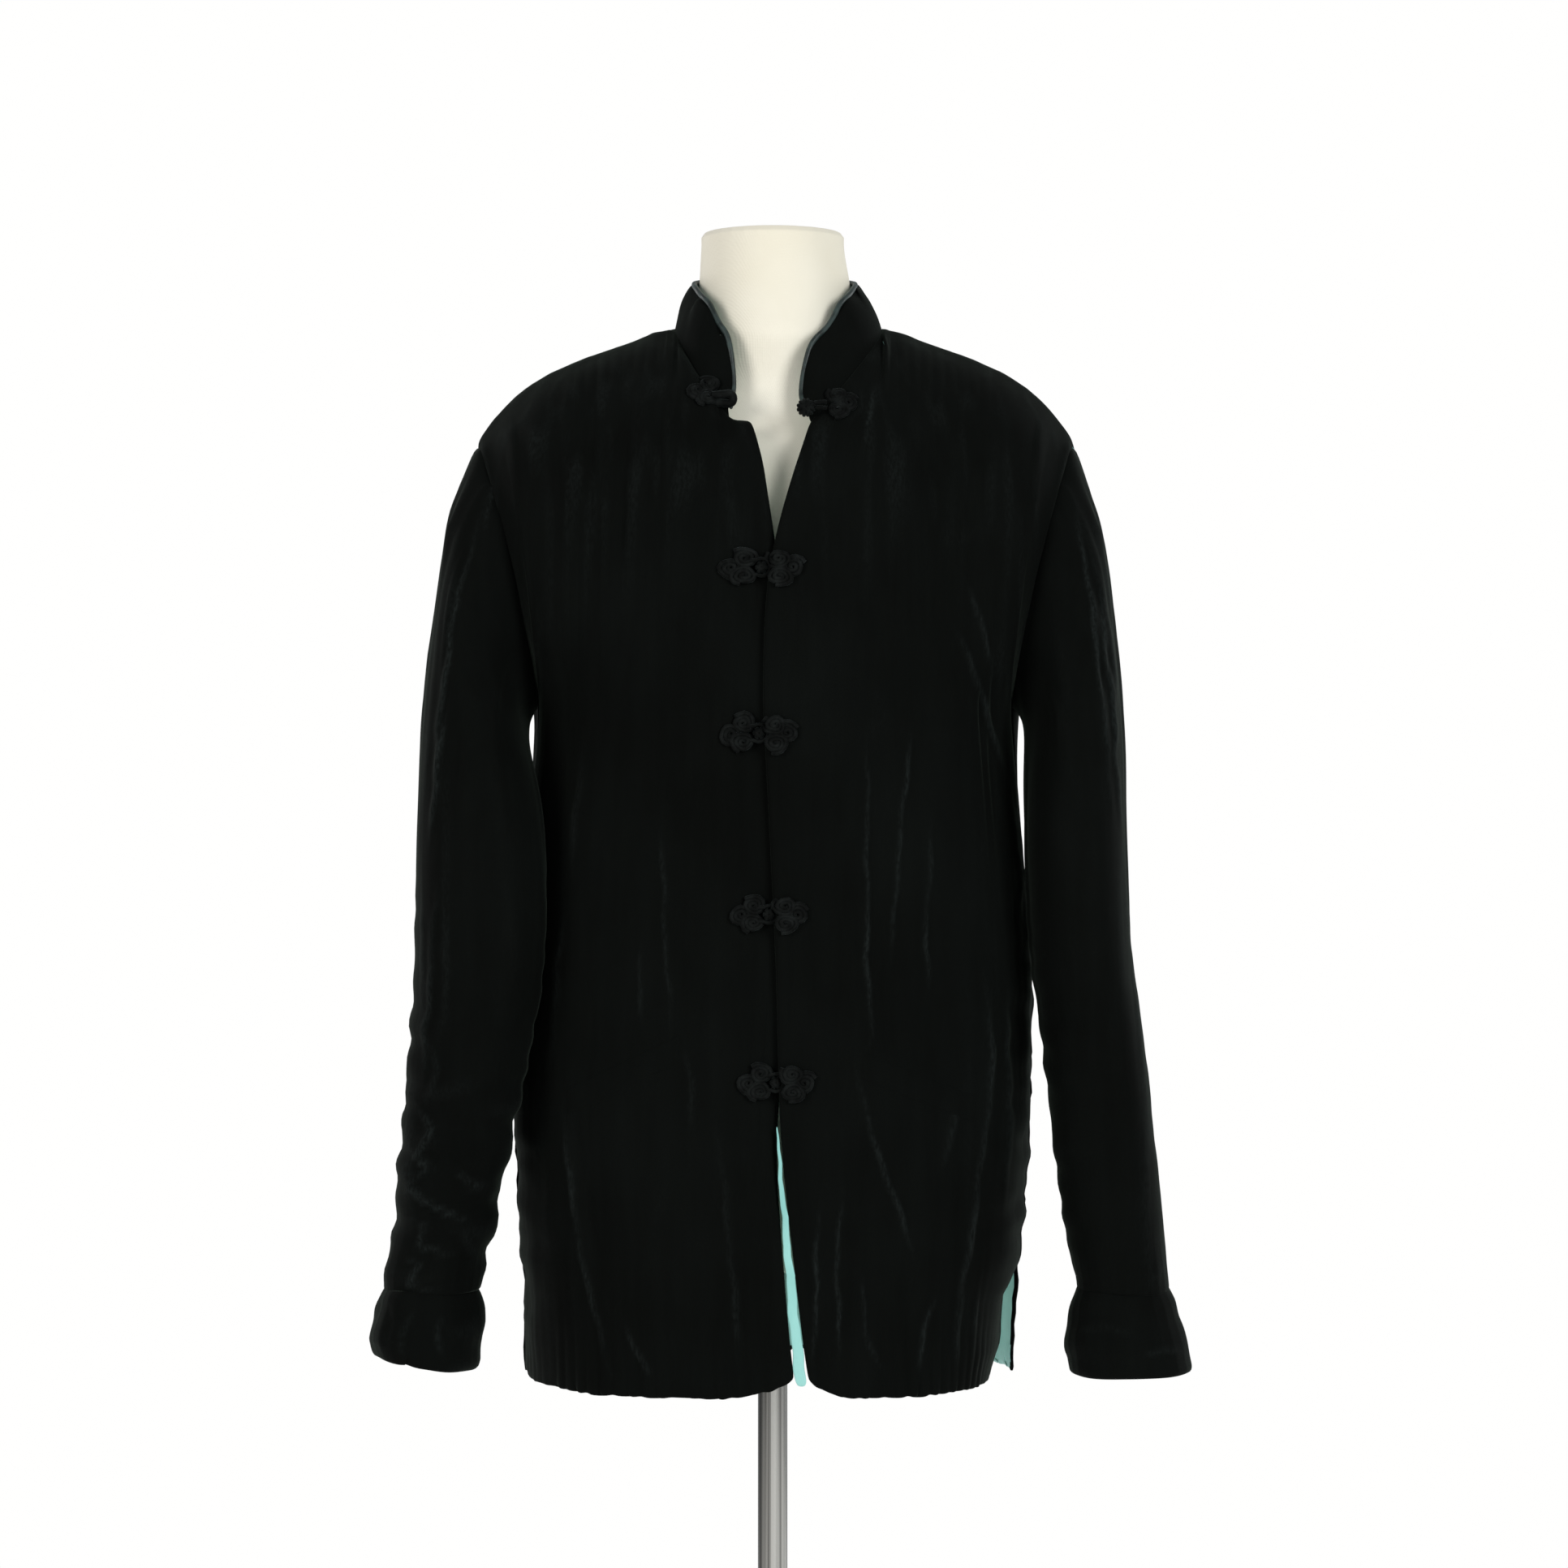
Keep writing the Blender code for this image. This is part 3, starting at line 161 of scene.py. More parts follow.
def velvetFinish(name, look):
    finish = Finish(name, {"Roughness": 0.94, "Specular IOR Level": 0.07, "Sheen Weight": look["sheen"],
                           "Sheen Roughness": look["sheenRoughness"], "Sheen Tint": look["sheenTint"]})
    where = finish.place()
    patches = finish.noise(where, look["patchScale"], 3.0)
    streaks = finish.noise(finish.stretched(look["streakScale"]), 1.0, 4.0, 0.6)
    nap = finish.noise(where, look["napScale"], 2.0, 0.7)
    lean = finish.ramp(patches * 0.6 + streaks * 0.4, ((0.36, 0.0), (0.68, 1.0)))
    pile = finish.mix(lean * 0.75, look["deep"], look["brushed"])
    # Painted sheen: where the mesh's sheen attribute is high, broken up by noise, the pile is mixed towards
    # a lighter colour; partly crushed pile
    gaps = finish.noise(finish.stretched((1.0, 1.0, 0.35)), 620.0, 3.0, 0.6)
    broken = finish.ramp(gaps, ((0.38, 0.15), (0.66, 1.0)))
    sheenAndWearMask = finish.attribute("worn") * broken
    pile = finish.mix(sheenAndWearMask, pile, look["worn"])
    speck = finish.ramp(nap, ((0.35, 0.62), (0.7, 1.0)))
    colour = finish.make("ShaderNodeVectorMath", {"operation": "MULTIPLY"}, {0: pile, 1: speck}, "Vector")
    finish.feed("Base Color", colour)
    finish.bump(nap * 0.6 + streaks * 0.4, 0.35, 0.0006)
    return finish.material


def liningFinish():
    finish = Finish("tealSatin", {"Roughness": 0.36, "Specular IOR Level": 0.45, "Sheen Weight": 0.25,
                                  "Sheen Tint": (0.75, 1.0, 0.95, 1.0)})
    where = finish.place()
    creases = finish.noise(finish.stretched((40.0, 40.0, 14.0)), 1.0, 3.0)
    threads = finish.noise(finish.stretched((2600.0, 2600.0, 700.0)), 1.0, 1.0)
    # Painted fold shade: darker teal in the folds' valleys, lighter teal on their ridges
    shade = finish.ramp(creases, ((0.3, 0.0), (0.7, 1.0)))
    finish.feed("Base Color", finish.mix(shade, (0.24, 0.54, 0.50, 1.0), (0.36, 0.70, 0.65, 1.0)))
    finish.feed("Roughness", 0.30 + 0.16 * finish.noise(where, 90.0, 2.0))
    finish.bump(threads * 0.5 + creases, 0.3, 0.0008)
    return finish.material


def rollFinish():
    finish = Finish("edgeRoll", {"Specular IOR Level": 0.4, "Sheen Weight": 0.2, "Sheen Roughness": 0.3,
                                 "Sheen Tint": (0.2500, 0.3500, 0.3400, 1.0)})
    where = finish.place()
    rubbed = finish.ramp(finish.noise(where, 140.0, 3.0), ((0.40, 0.0), (0.66, 1.0)))
    finish.feed("Base Color", finish.mix(rubbed, (0.0050, 0.0110, 0.0100, 1.0),
                                         (0.0250, 0.0425, 0.0390, 1.0)))
    finish.feed("Roughness", 0.42 + 0.25 * rubbed)
    finish.bump(finish.noise(where, 1400.0, 2.0), 0.3, 0.0004)
    return finish.material


def jerseyFinish():
    finish = Finish("creamJersey", {"Specular IOR Level": 0.2, "Sheen Weight": 0.2})
    where = finish.place()
    ribs = finish.make("ShaderNodeTexWave", {"wave_type": "BANDS", "bands_direction": "DIAGONAL"},
                       {"Vector": finish.stretched((1.0, 1.0, 0.15)), "Scale": 520.0, "Distortion": 1.5,
                        "Detail": 2.0}, "Fac")
    courses = finish.make("ShaderNodeTexWave", {"wave_type": "BANDS", "bands_direction": "Z"},
                          {"Vector": where, "Scale": 420.0, "Distortion": 0.8}, "Fac")
    cloudy = finish.noise(where, 9.0, 3.0)
    shade = finish.ramp(cloudy, ((0.3, 0.0), (0.75, 1.0)))
    finish.feed("Base Color", finish.mix(shade, (0.78, 0.73, 0.60, 1.0), (0.87, 0.83, 0.72, 1.0)))
    finish.feed("Roughness", 0.78 + 0.12 * cloudy)
    finish.bump(ribs * 0.5 + courses * 0.5, 0.25, 0.0004)
    return finish.material


def chromeFinish():
    finish = Finish("chrome", {"Base Color": (0.35, 0.35, 0.34, 1.0), "Metallic": 1.0})
    rubbed = finish.noise(finish.stretched((240.0, 240.0, 6.0)), 1.0, 3.0)
    # Vertical bands of dark and light base colour: painted reflections of the room on the pole
    upright = finish.noise(finish.stretched((330.0, 330.0, 0.8)), 1.0, 2.0)
    paintedReflectionBands = finish.ramp(upright, ((0.36, 0.0), (0.62, 1.0)))
    finish.feed("Base Color", finish.mix(paintedReflectionBands, (0.085, 0.083, 0.078, 1.0), (0.56, 0.55, 0.52, 1.0)))
    finish.feed("Roughness", 0.10 + 0.16 * rubbed)
    finish.bump(rubbed, 0.08, 0.0002)
    return finish.material


def paintFinish():
    finish = Finish("greyPaint", {"Base Color": (0.085, 0.086, 0.09, 1.0), "Coat Weight": 0.2})
    where = finish.place()
    orangePeel = finish.noise(where, 650.0, 2.0)
    dust = finish.noise(where, 18.0, 4.0)
    finish.feed("Base Color", finish.mix(finish.ramp(dust, ((0.45, 0.0), (0.8, 1.0))),
                                         (0.080, 0.081, 0.085, 1.0), (0.13, 0.13, 0.132, 1.0)))
    finish.feed("Roughness", 0.34 + 0.2 * dust)
    finish.bump(orangePeel, 0.12, 0.0003)
    return finish.material


def cordFinish():
    finish = Finish("silkCord", {"Specular IOR Level": 0.07, "Sheen Weight": 0.10, "Sheen Roughness": 0.3,
                                 "Sheen Tint": (0.40, 0.48, 0.48, 1.0)})
    where = finish.place()
    twist = finish.noise(where, 1500.0, 2.0)
    # Random lighter patches on the cord: painted sheen and wear
    worn = finish.noise(where, 130.0, 3.0)
    lit = finish.ramp(worn, ((0.42, 0.0), (0.68, 1.0)))
    finish.feed("Base Color", finish.mix(lit, (0.0014, 0.0018, 0.0015, 1.0), (0.0070, 0.0084, 0.0078, 1.0)))
    finish.feed("Roughness", 0.62 + 0.2 * twist)
    finish.bump(twist, 0.5, 0.0006)
    return finish.material


velvet = velvetFinish("velvet", velvetLook)
lining = liningFinish()
edgeRoll = rollFinish()
jersey = jerseyFinish()
chrome = chromeFinish()
greyPaint = paintFinish()
silkCord = cordFinish()
print("finishes made")


# Cloth: each piece is its solid's form, with more rows, rounded channels and creases

cloth = {
    "rowHeight": 0.0155,
    "mergeDistance": 0.00002,
    "seedLength": 0.025,
    "uprightShare": 0.85,
    "shortest": 0.0085,
    "leastTurn": 0.1,
    "softAngle": 1.15,
    "leastOutward": -0.2,
    "seamCrease": 0.8,
    "rowPasses": 6,
    "creaseShare": 0.62,
    "creaseTaper": 0.3,
    "waver": 0.0012,
    "lumpHeight": 0.0014,
    "lumpScale": (30.0, 30.0, 12.0),
    "puckerHeight": 0.0030,
    "puckerScale": (22.0, 22.0, 75.0),
    "streakScale": (120.0, 70.0, 6.0),
    "streakHeight": 0.0012,
    "rollReach": 0.009,
    "rollSink": 0.0008,
    "rollLowest": 1.372,
}
photoView = {"middle": (966.0, 966.0), "eye": (0.0077, -3.0, 1.10), "metresPerPixel": 0.00055}


def fromPhoto(point, depth):
    # A place in the picture, in its pixels, to x and z in the plane at that depth
    scale = photoView["metresPerPixel"] * (depth - photoView["eye"][1]) / -photoView["eye"][1]
    return (photoView["eye"][0] + (point[0] - photoView["middle"][0]) * scale,
            photoView["eye"][2] - (point[1] - photoView["middle"][1]) * scale)


bodyHeart = Vector((0.002, 0.0, 1.22))
sleeveHearts = {
    1: ((0.192, -0.008, 1.255), (0.200, -0.030, 1.150), (0.204, -0.047, 1.000), (0.216, -0.053, 0.900),
        (0.234, -0.054, 0.760)),
    -1: ((-0.190, -0.010, 1.255), (-0.197, -0.045, 1.150), (-0.190, -0.072, 1.000), (-0.207, -0.068, 0.900),
         (-0.227, -0.060, 0.760)),
}


def outwardWays(points, kind):
    # From the piece's own middle line outwards, for each point
    points = np.asarray(points, dtype=float).reshape(-1, 3)
    hearts = np.zeros_like(points)
    if kind == 0:
        hearts[:, 0] = bodyHeart.x
        hearts[:, 2] = np.minimum(points[:, 2], bodyHeart.z)
    else:
        line = np.array(sleeveHearts[kind])
        best = np.full(len(points), 1e9)
        for start, end in zip(line[:-1], line[1:]):
            way = end - start
            share = np.clip(((points - start) @ way) / (way @ way), 0.0, 1.0)
            near = start + share[:, None] * way
            away = np.linalg.norm(points - near, axis=1)
            closer = away < best
            best[closer] = away[closer]
            hearts[closer] = near[closer]
    ways = points - hearts
    return ways / np.maximum(np.linalg.norm(ways, axis=1, keepdims=True), 1e-6)


def mergedCopy(name):
    cage = bmesh.new()
    cage.from_mesh(nodes[name].data)
    cage.edges.layers.float.new("crease_edge")
    cage.edges.layers.int.new("along")
    bmesh.ops.remove_doubles(cage, verts=cage.verts[:], dist=cloth["mergeDistance"])
    bmesh.ops.join_triangles(cage, faces=cage.faces[:], angle_face_threshold=math.pi,
                             angle_shape_threshold=math.pi)
    cage.normal_update()
    return cage


def oppositeEdge(face, edge, step):
    edges = face.edges[:]
    return edges[(edges.index(edge) + step) % 4]


def channelEdges(cage):
    # Edges that run along the channels, found from the long upright ones through the quads
    along = set()
    for edge in cage.edges:
        way = edge.verts[1].co - edge.verts[0].co
        if way.length > cloth["seedLength"] and abs(way.z) > cloth["uprightShare"] * way.length:
            along.add(edge)
    across = set()
    waiting = list(along)
    while waiting:
        edge = waiting.pop()
        same, other = (along, across) if edge in along else (across, along)
        for face in edge.link_faces:
            if len(face.verts) != 4:
                continue
            for step, group in ((2, same), (1, other), (3, other)):
                found = oppositeEdge(face, edge, step)
                if found not in along and found not in across:
                    group.add(found)
                    waiting.append(found)
    return {edge for edge in along if edge.calc_length() > cloth["shortest"]}


def edgeRings(along):
    # Sets of channel edges that lie side by side in one row
    left = set(along)
    rings = []
    while left:
        first = left.pop()
        ring = [first]
        waiting = [first]
        while waiting:
            edge = waiting.pop()
            for face in edge.link_faces:
                if len(face.verts) != 4:
                    continue
                found = oppositeEdge(face, edge, 2)
                if found in left:
                    left.remove(found)
                    ring.append(found)
                    waiting.append(found)
        rings.append(ring)
    return rings


def outerSheet(name, kind):
    # Only the outer faces of a piece's wall, found from its most outward face across soft edges
    cage = mergedCopy(name)
    faces = cage.faces[:]
    ways = outwardWays([face.calc_center_median() for face in faces], kind)
    outwards = [face.normal.dot(Vector(way)) for face, way in zip(faces, ways)]
    facing = dict(zip(faces, outwards))
    seed = max(faces, key=lambda face: facing[face])
    kept = {seed}
    waiting = [seed]
    while waiting:
        face = waiting.pop()
        for edge in face.edges:
            if edge.calc_face_angle(math.pi) > cloth["softAngle"]:
                continue
            for other in edge.link_faces:
                if other not in kept and facing[other] > cloth["leastOutward"]:
                    kept.add(other)
                    waiting.append(other)
    bmesh.ops.delete(cage, geom=[face for face in faces if face not in kept], context="FACES")
    bmesh.ops.holes_fill(cage, edges=[edge for edge in cage.edges if edge.is_boundary], sides=8)
    cage.normal_update()
    for face in cage.faces:
        face.smooth = True
    return cage


def softenChannels(cage, along, keep):
    # Seams get a crease, and each ridge keeps its own share of its height
    crease = cage.edges.layers.float["crease_edge"]
    ridges = set()
    for edge in along:
        if len(edge.link_faces) != 2:
            continue
        turn = edge.calc_face_angle_signed(0.0)
        if turn < -cloth["leastTurn"]:
            edge[crease] = cloth["seamCrease"]
        elif turn > cloth["leastTurn"]:
            ridges.update(edge.verts)
    moved = {}
    for vert in ridges:
        short = [e for e in vert.link_edges if e not in along and e.calc_length() < cloth["shortest"]]
        beside = [e.other_vert(vert) for e in short if e.other_vert(vert) not in ridges]
        if len(beside) == 2:
            level = (beside[0].co + beside[1].co) / 2
            moved[vert] = level + (vert.co - level) * keep(vert.co)
    for vert, place in moved.items():
        vert.co = place


def addRows(cage, along, rowHeight):
    flag = cage.edges.layers.int["along"]
    rings = edgeRings(along)
    for edge in along:
        edge[flag] = 1
    for ring in rings:
        mean = sum(edge.calc_length() for edge in ring) / len(ring)
        cuts = int(round(mean / rowHeight)) - 1
        if cuts > 0:
            bmesh.ops.subdivide_edges(cage, edges=ring, cuts=cuts, use_grid_fill=True)
    return flag


def smoothRows(cage, flag, passes, keepRims):
    # Rounds the corners between rows without touching the channels' section
    pairs = []
    for vert in cage.verts:
        beside = [e.other_vert(vert) for e in vert.link_edges if e[flag]]
        if len(beside) == 2 and not (vert.is_boundary and keepRims(vert.co)):
            pairs.append((vert, beside[0], beside[1]))
    for _ in range(passes):
        places = [(v.co * 2 + a.co + b.co) / 4 for v, a, b in pairs]
        for (vert, _, _), place in zip(pairs, places):
            vert.co = place


def wander(values, seed, wave):
    # A smooth wavy number between about -1 and 1 for each value
    return 0.6 * np.sin(values / wave + seed) + 0.4 * np.sin(values / (wave * 0.43) + 2.3 * seed + 1.0)


def segmentField(flat, path, width, height, taper):
    # Height of one crease at each flat point, wavering, uneven and faded out towards its ends
    path = np.array(path, dtype=float)
    seed = path[0, 0] * 311.0 + path[0, 1] * 173.0
    waver = np.stack([wander(flat[:, 1], seed, 0.012), wander(flat[:, 0], seed, 0.014)], axis=1)
    flat = flat + waver * cloth["waver"]
    lengths = np.linalg.norm(np.diff(path, axis=0), axis=1)
    total = lengths.sum()
    best = np.full(len(flat), 1e9)
    run = np.zeros(len(flat))
    done = 0.0
    for start, end, length in zip(path[:-1], path[1:], lengths):
        way = end - start
        share = np.clip(((flat - start) @ way) / (way @ way), 0.0, 1.0)
        away = np.linalg.norm(flat - start - share[:, None] * way, axis=1)
        closer = away < best
        best[closer] = away[closer]
        run[closer] = ((done + share * length) / total)[closer]
        done += length
    ends = np.clip(np.minimum(run, 1.0 - run) / max(taper, 0.01), 0.0, 1.0)
    profile = np.exp(-((best / width) ** 2))
    uneven = 0.8 + 0.3 * wander(run * total, seed * 1.7, 0.022)
    return height * uneven * profile * (0.15 + 0.85 * ends * ends * (3.0 - 2.0 * ends))


def paintedRidgeSheen(field, width):
    # Painted sheen, with some crushed pile, along narrow ridges, hardly any on broad ones
    share = float(np.interp(width, (3.0, 4.5, 7.0), (0.85, 0.4, 0.12)))
    return np.clip(field / 0.0014, 0.0, 1.0) ** 1.6 * share


def noiseField(places, scale, shift):
    scale = np.array(scale)
    return np.array([noise.noise(Vector(place) + shift) for place in places * scale])


def shapedMesh(piece, cage):
    obj = bpy.data.objects.new(piece["name"] + "Cage", bpy.data.meshes.new(piece["name"] + "Cage"))
    cage.to_mesh(obj.data)
    cage.free()
    for material in piece.get("materials", ()):
        obj.data.materials.append(material)
    bpy.context.scene.collection.objects.link(obj)
    if "wall" in piece:
        wall = obj.modifiers.new("Wall", "SOLIDIFY")
        wall.thickness = piece["wall"]
        wall.offset = -1.0
        wall.use_quality_normals = True
        wall.material_offset = 1
        wall.edge_crease_outer = piece["rimCrease"]
        wall.edge_crease_inner = piece["rimCrease"]
    rounding = obj.modifiers.new("Rounding", "SUBSURF")
    rounding.levels = piece["levels"]
    rounding.render_levels = piece["levels"]
    graph = bpy.context.evaluated_depsgraph_get()
    mesh = bpy.data.meshes.new_from_object(obj.evaluated_get(graph))
    bpy.data.objects.remove(obj)
    mesh.name = piece["name"]
    return mesh


def creased(piece, mesh):
    count = len(mesh.vertices)
    places = np.empty(count * 3, dtype=np.float32)
    mesh.vertices.foreach_get("co", places)
    places = places.reshape(-1, 3).astype(float)
    ways = outwardWays(places, piece["kind"])
    heights = np.zeros(count)
    worn = np.zeros(count)
    facing = piece["facing"](places, ways)
    flat = places[:, (0, 2)]
    # Each crease raises or sinks the cloth, and painted sheen goes along its ridge
    for path, width, height in piece["creases"]:
        line = [fromPhoto(point, piece["depth"]) for point in path]
        reach = width * cloth["creaseShare"] / 1000
        field = segmentField(flat, line, reach, height / 1000, cloth["creaseTaper"]) * facing
        heights += field
        worn += paintedRidgeSheen(field, width)
    for path, width, height in piece.get("hidden", ()):  # on the side away from the picture, in metres
        field = segmentField(flat, path, width / 1000, height / 1000, cloth["creaseTaper"]) * (1.0 - facing)
        heights += field
        worn += paintedRidgeSheen(field, width)
    lumps = noiseField(places, cloth["lumpScale"], piece["shift"])
    heights += lumps * cloth["lumpHeight"] * piece["lumps"](places)
    puckers = noiseField(places, cloth["puckerScale"], piece["shift"])
    heights += puckers * cloth["puckerHeight"] * piece["puckers"](places)
    # Pucker tops get painted sheen
    worn += np.clip(puckers * piece["puckers"](places) - 0.3, 0.0, 1.0) * 0.5
    # Streaks high on the shoulders, down the body's sides and on the sleeves' outer sides get painted sheen
    # and a little height
    if "streaks" in piece:
        streaks = np.clip(noiseField(places, cloth["streakScale"], piece["shift"]) - 0.05, 0.0, 1.0)
        streaks *= piece["streaks"](places, ways)
        worn += streaks
        heights += streaks * cloth["streakHeight"]
    places += ways * heights[:, None]
    places += piece["extra"](places, ways) if "extra" in piece else 0.0
    mesh.vertices.foreach_set("co", places.astype(np.float32).ravel())
    # The painted sheen goes to the material as a point attribute
    layer = mesh.attributes.new("worn", "FLOAT", "POINT")
    layer.data.foreach_set("value", np.clip(worn, 0.0, 1.0).astype(np.float32))
    mesh.update()


def declared(obj, nodeName):
    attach(obj, "root")
    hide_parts(nodeName)
    return obj


def finishedPiece(name, mesh, materials, nodeName):
    if not mesh.materials:
        for material in materials:
            mesh.materials.append(material)
    obj = bpy.data.objects.new(name, mesh)
    bpy.context.scene.collection.objects.link(obj)
    return declared(obj, nodeName)


def tuckRims(cage, shiftOf, roll):
    # Lays an edge that has a roll against it, and sinks a seam's edge a little under its neighbour
    tree = None
    if roll is not None:
        copy = mergedCopy(roll)
        tree = BVHTree.FromBMesh(copy)
        copy.free()
    for vert in cage.verts:
        if not vert.is_boundary:
            continue
        near = None
        if tree is not None and vert.co.z > cloth["rollLowest"]:
            near, outwards = tree.find_nearest(vert.co, cloth["rollReach"])[:2]
        vert.co = vert.co + shiftOf(vert.co) if near is None else near - outwards * cloth["rollSink"]


def clothPiece(piece):
    cage = outerSheet(piece["node"], piece["kind"])
    found = len(cage.faces)
    along = channelEdges(cage)
    softenChannels(cage, along, piece["keep"])
    flag = addRows(cage, along, piece.get("rowHeight", cloth["rowHeight"]))
    smoothRows(cage, flag, cloth["rowPasses"], piece["keepRims"])
    if "tuck" in piece:
        tuckRims(cage, piece["tuck"], piece.get("roll"))
    rest = sum(1 for face in cage.faces if len(face.verts) != 4)
    mesh = shapedMesh({**piece, "materials": (velvet, piece.get("inside", lining))}, cage)
    creased(piece, mesh)
    obj = finishedPiece(piece["name"], mesh, (velvet, lining), piece["node"])
    if "turned" in piece:
        for face in mesh.polygons:
            if piece["turned"](face.center, face.normal):
                face.material_index = 1
    print("cloth:", piece["name"], found, "faces kept,", rest, "odd ones,", len(mesh.polygons), "in all")
    return obj


def ramped(value, stops):
    return float(np.interp(value, [s[0] for s in stops], [s[1] for s in stops]))


# How far the channels stand up at each height, and how that varies across the body
bodyRise = ((0.70, 1.15), (0.737, 0.45), (0.767, 0.18), (0.90, 0.12), (1.18, 0.13), (1.33, 0.5), (1.40, 0.6))
bodyWaves = {"wide": 61.0, "narrow": 143.0, "sides": 0.145, "sideShare": 0.4}


def bodyKeep(co):
    # Channels stand up at the hem and the shoulders and lie nearly flat between
    wide = math.sin(bodyWaves["wide"] * co.x + 2.0)
    uneven = 0.85 + 0.3 * wide + 0.2 * math.sin(bodyWaves["narrow"] * co.x)
    side = bodyWaves["sideShare"] if abs(co.x) > bodyWaves["sides"] else 1.0
    return ramped(co.z, bodyRise) * uneven * side


def bodyPuckers(places):
    side = np.clip((np.abs(places[:, 0]) - 0.135) / 0.03, 0.0, 1.0)
    return side * np.interp(places[:, 2], (0.72, 0.78, 0.98, 1.12), (0.5, 0.9, 0.7, 0.0))


# Where streaks of painted sheen and a little height go on the body: high on the shoulders and along the
# sides
def bodySheenStreaks(places, ways):
    high = np.interp(places[:, 2], (1.20, 1.30), (0.0, 1.0)) * np.where(places[:, 0] < 0.0, 0.6, 0.45)
    side = np.clip((np.abs(places[:, 0]) - 0.12) / 0.04, 0.0, 1.0) * 0.5
    return np.maximum(high, side)


# Streaks of painted sheen and a little height along the sleeves' outer sides
def sleeveSheenStreaks(places, ways):
    return np.clip(np.sign(places[:, 0]) * ways[:, 0] * 1.6 - 0.25, 0.0, 1.0) * 0.9


def onAxis(places, axis, amounts):
    shift = np.zeros_like(places)
    shift[:, axis] = amounts
    return shift


def hemRise(places, middle, reach, height):
    near = np.exp(-((places[:, 0] - middle) / reach) ** 2)
    low = np.clip((0.735 - places[:, 2]) / 0.030, 0.0, 1.0)
    return onAxis(places, 2, near * low * height)


# How far each vent edge is pulled towards the middle at each height, and where that pull begins
ventPulls = {
    "left": ((0.700, 0.0165), (0.711, 0.0145), (0.722, 0.0110), (0.735, 0.0105), (0.757, 0.0085),
             (0.764, 0.0055), (0.775, 0.0020), (0.790, 0.0)),
    "back": ((0.700, 0.0012), (0.755, 0.0010), (0.790, 0.0)),
    "right": ((0.700, 0.0012), (0.735, 0.0002), (0.750, 0.0), (0.765, 0.0)),
}
ventSizes = {"liningTop": 0.757, "liningStart": 0.10, "liningEnd": 1245.0}


def ventPull(places, name, side, start, width):
    heights, amounts = zip(*ventPulls[name])
    pull = np.interp(places[:, 2], heights, amounts)
    reach = np.clip((side * places[:, 0] - start) / width, 0.0, 1.1) ** 2
    return onAxis(places, 0, -side * pull * reach)


def leftVent(places, ways):
    # The front swings in below the vent's top, so the lining of the back shows beside it
    return ventPull(places, "left", 1.0, 0.105, 0.057) + hemRise(places, 0.0330, 0.0130, 0.0030)


def backVent(places, ways):
    return ventPull(places, "back", 1.0, 0.105, 0.057)


def rightVent(places, ways):
    return ventPull(places, "right", -1.0, 0.115, 0.050) + hemRise(places, 0.0010, 0.0230, 0.0052)


def ventLining(place, normal):
    # The lining of the back that shows in the left vent, up to the back's own edge in picture pixels
    if place.z > ventSizes["liningTop"] or place.x < ventSizes["liningStart"] or normal.y > 0.05:
        return False
    share = (place.y - photoView["eye"][1]) / -photoView["eye"][1]
    across = (place.x - photoView["eye"][0]) / (photoView["metresPerPixel"] * share)
    return photoView["middle"][0] + across < ventSizes["liningEnd"]


def frontFacing(places, ways):
    return np.clip(-ways[:, 1] * 2.5 + 0.2, 0.0, 1.0)


def bodyLumps(places):
    return np.interp(places[:, 2], (0.70, 0.76, 0.90, 1.25, 1.33), (0.8, 1.0, 1.0, 0.8, 0.25))


rightFrontCreases = (
    # path in the picture, half width and height in mm
    (((652, 545), (650, 470), (662, 452)), 9, 1.6),
    (((700, 640), (692, 540), (700, 440)), 9, 1.5),
    (((742, 690), (738, 560), (746, 428)), 8, 1.4),
    (((790, 720), (782, 560), (790, 412)), 8, 1.3),
    (((830, 650), (822, 540), (828, 440)), 7, 1.2),
    (((676, 700), (670, 560), (680, 450)), 6, -1.4),
    (((722, 720), (716, 560), (722, 436)), 6, -1.3),
    (((766, 740), (762, 560), (768, 420)), 6, -1.2),
    (((812, 740), (804, 560), (810, 430)), 6, -1.0),
    (((812, 1010), (818, 1120), (826, 1275)), 3.2, 1.3),
    (((788, 1150), (790, 1265)), 3.0, 1.1),
    (((716, 900), (706, 1010), (700, 1090)), 4.0, 1.2),
    (((690, 1120), (682, 1220), (668, 1340)), 4.0, 1.4),
    (((688, 1362), (700, 1470), (722, 1590), (752, 1700)), 3.6, 1.8),
    (((706, 1380), (722, 1500), (748, 1610)), 5.5, -1.3),
    (((764, 1630), (780, 1665), (806, 1702)), 3.0, 1.4),
    (((842, 1280), (852, 1330), (850, 1400)), 4.0, 1.0),
    (((880, 1375), (894, 1480), (905, 1600), (914, 1700)), 4.5, 1.6),
    (((902, 1390), (918, 1500), (930, 1640)), 6.0, -1.2),
    (((826, 1440), (800, 1520), (790, 1600)), 9.0, 1.0),
    (((741, 770), (735, 860), (742, 930)), 10.0, -1.0),
)
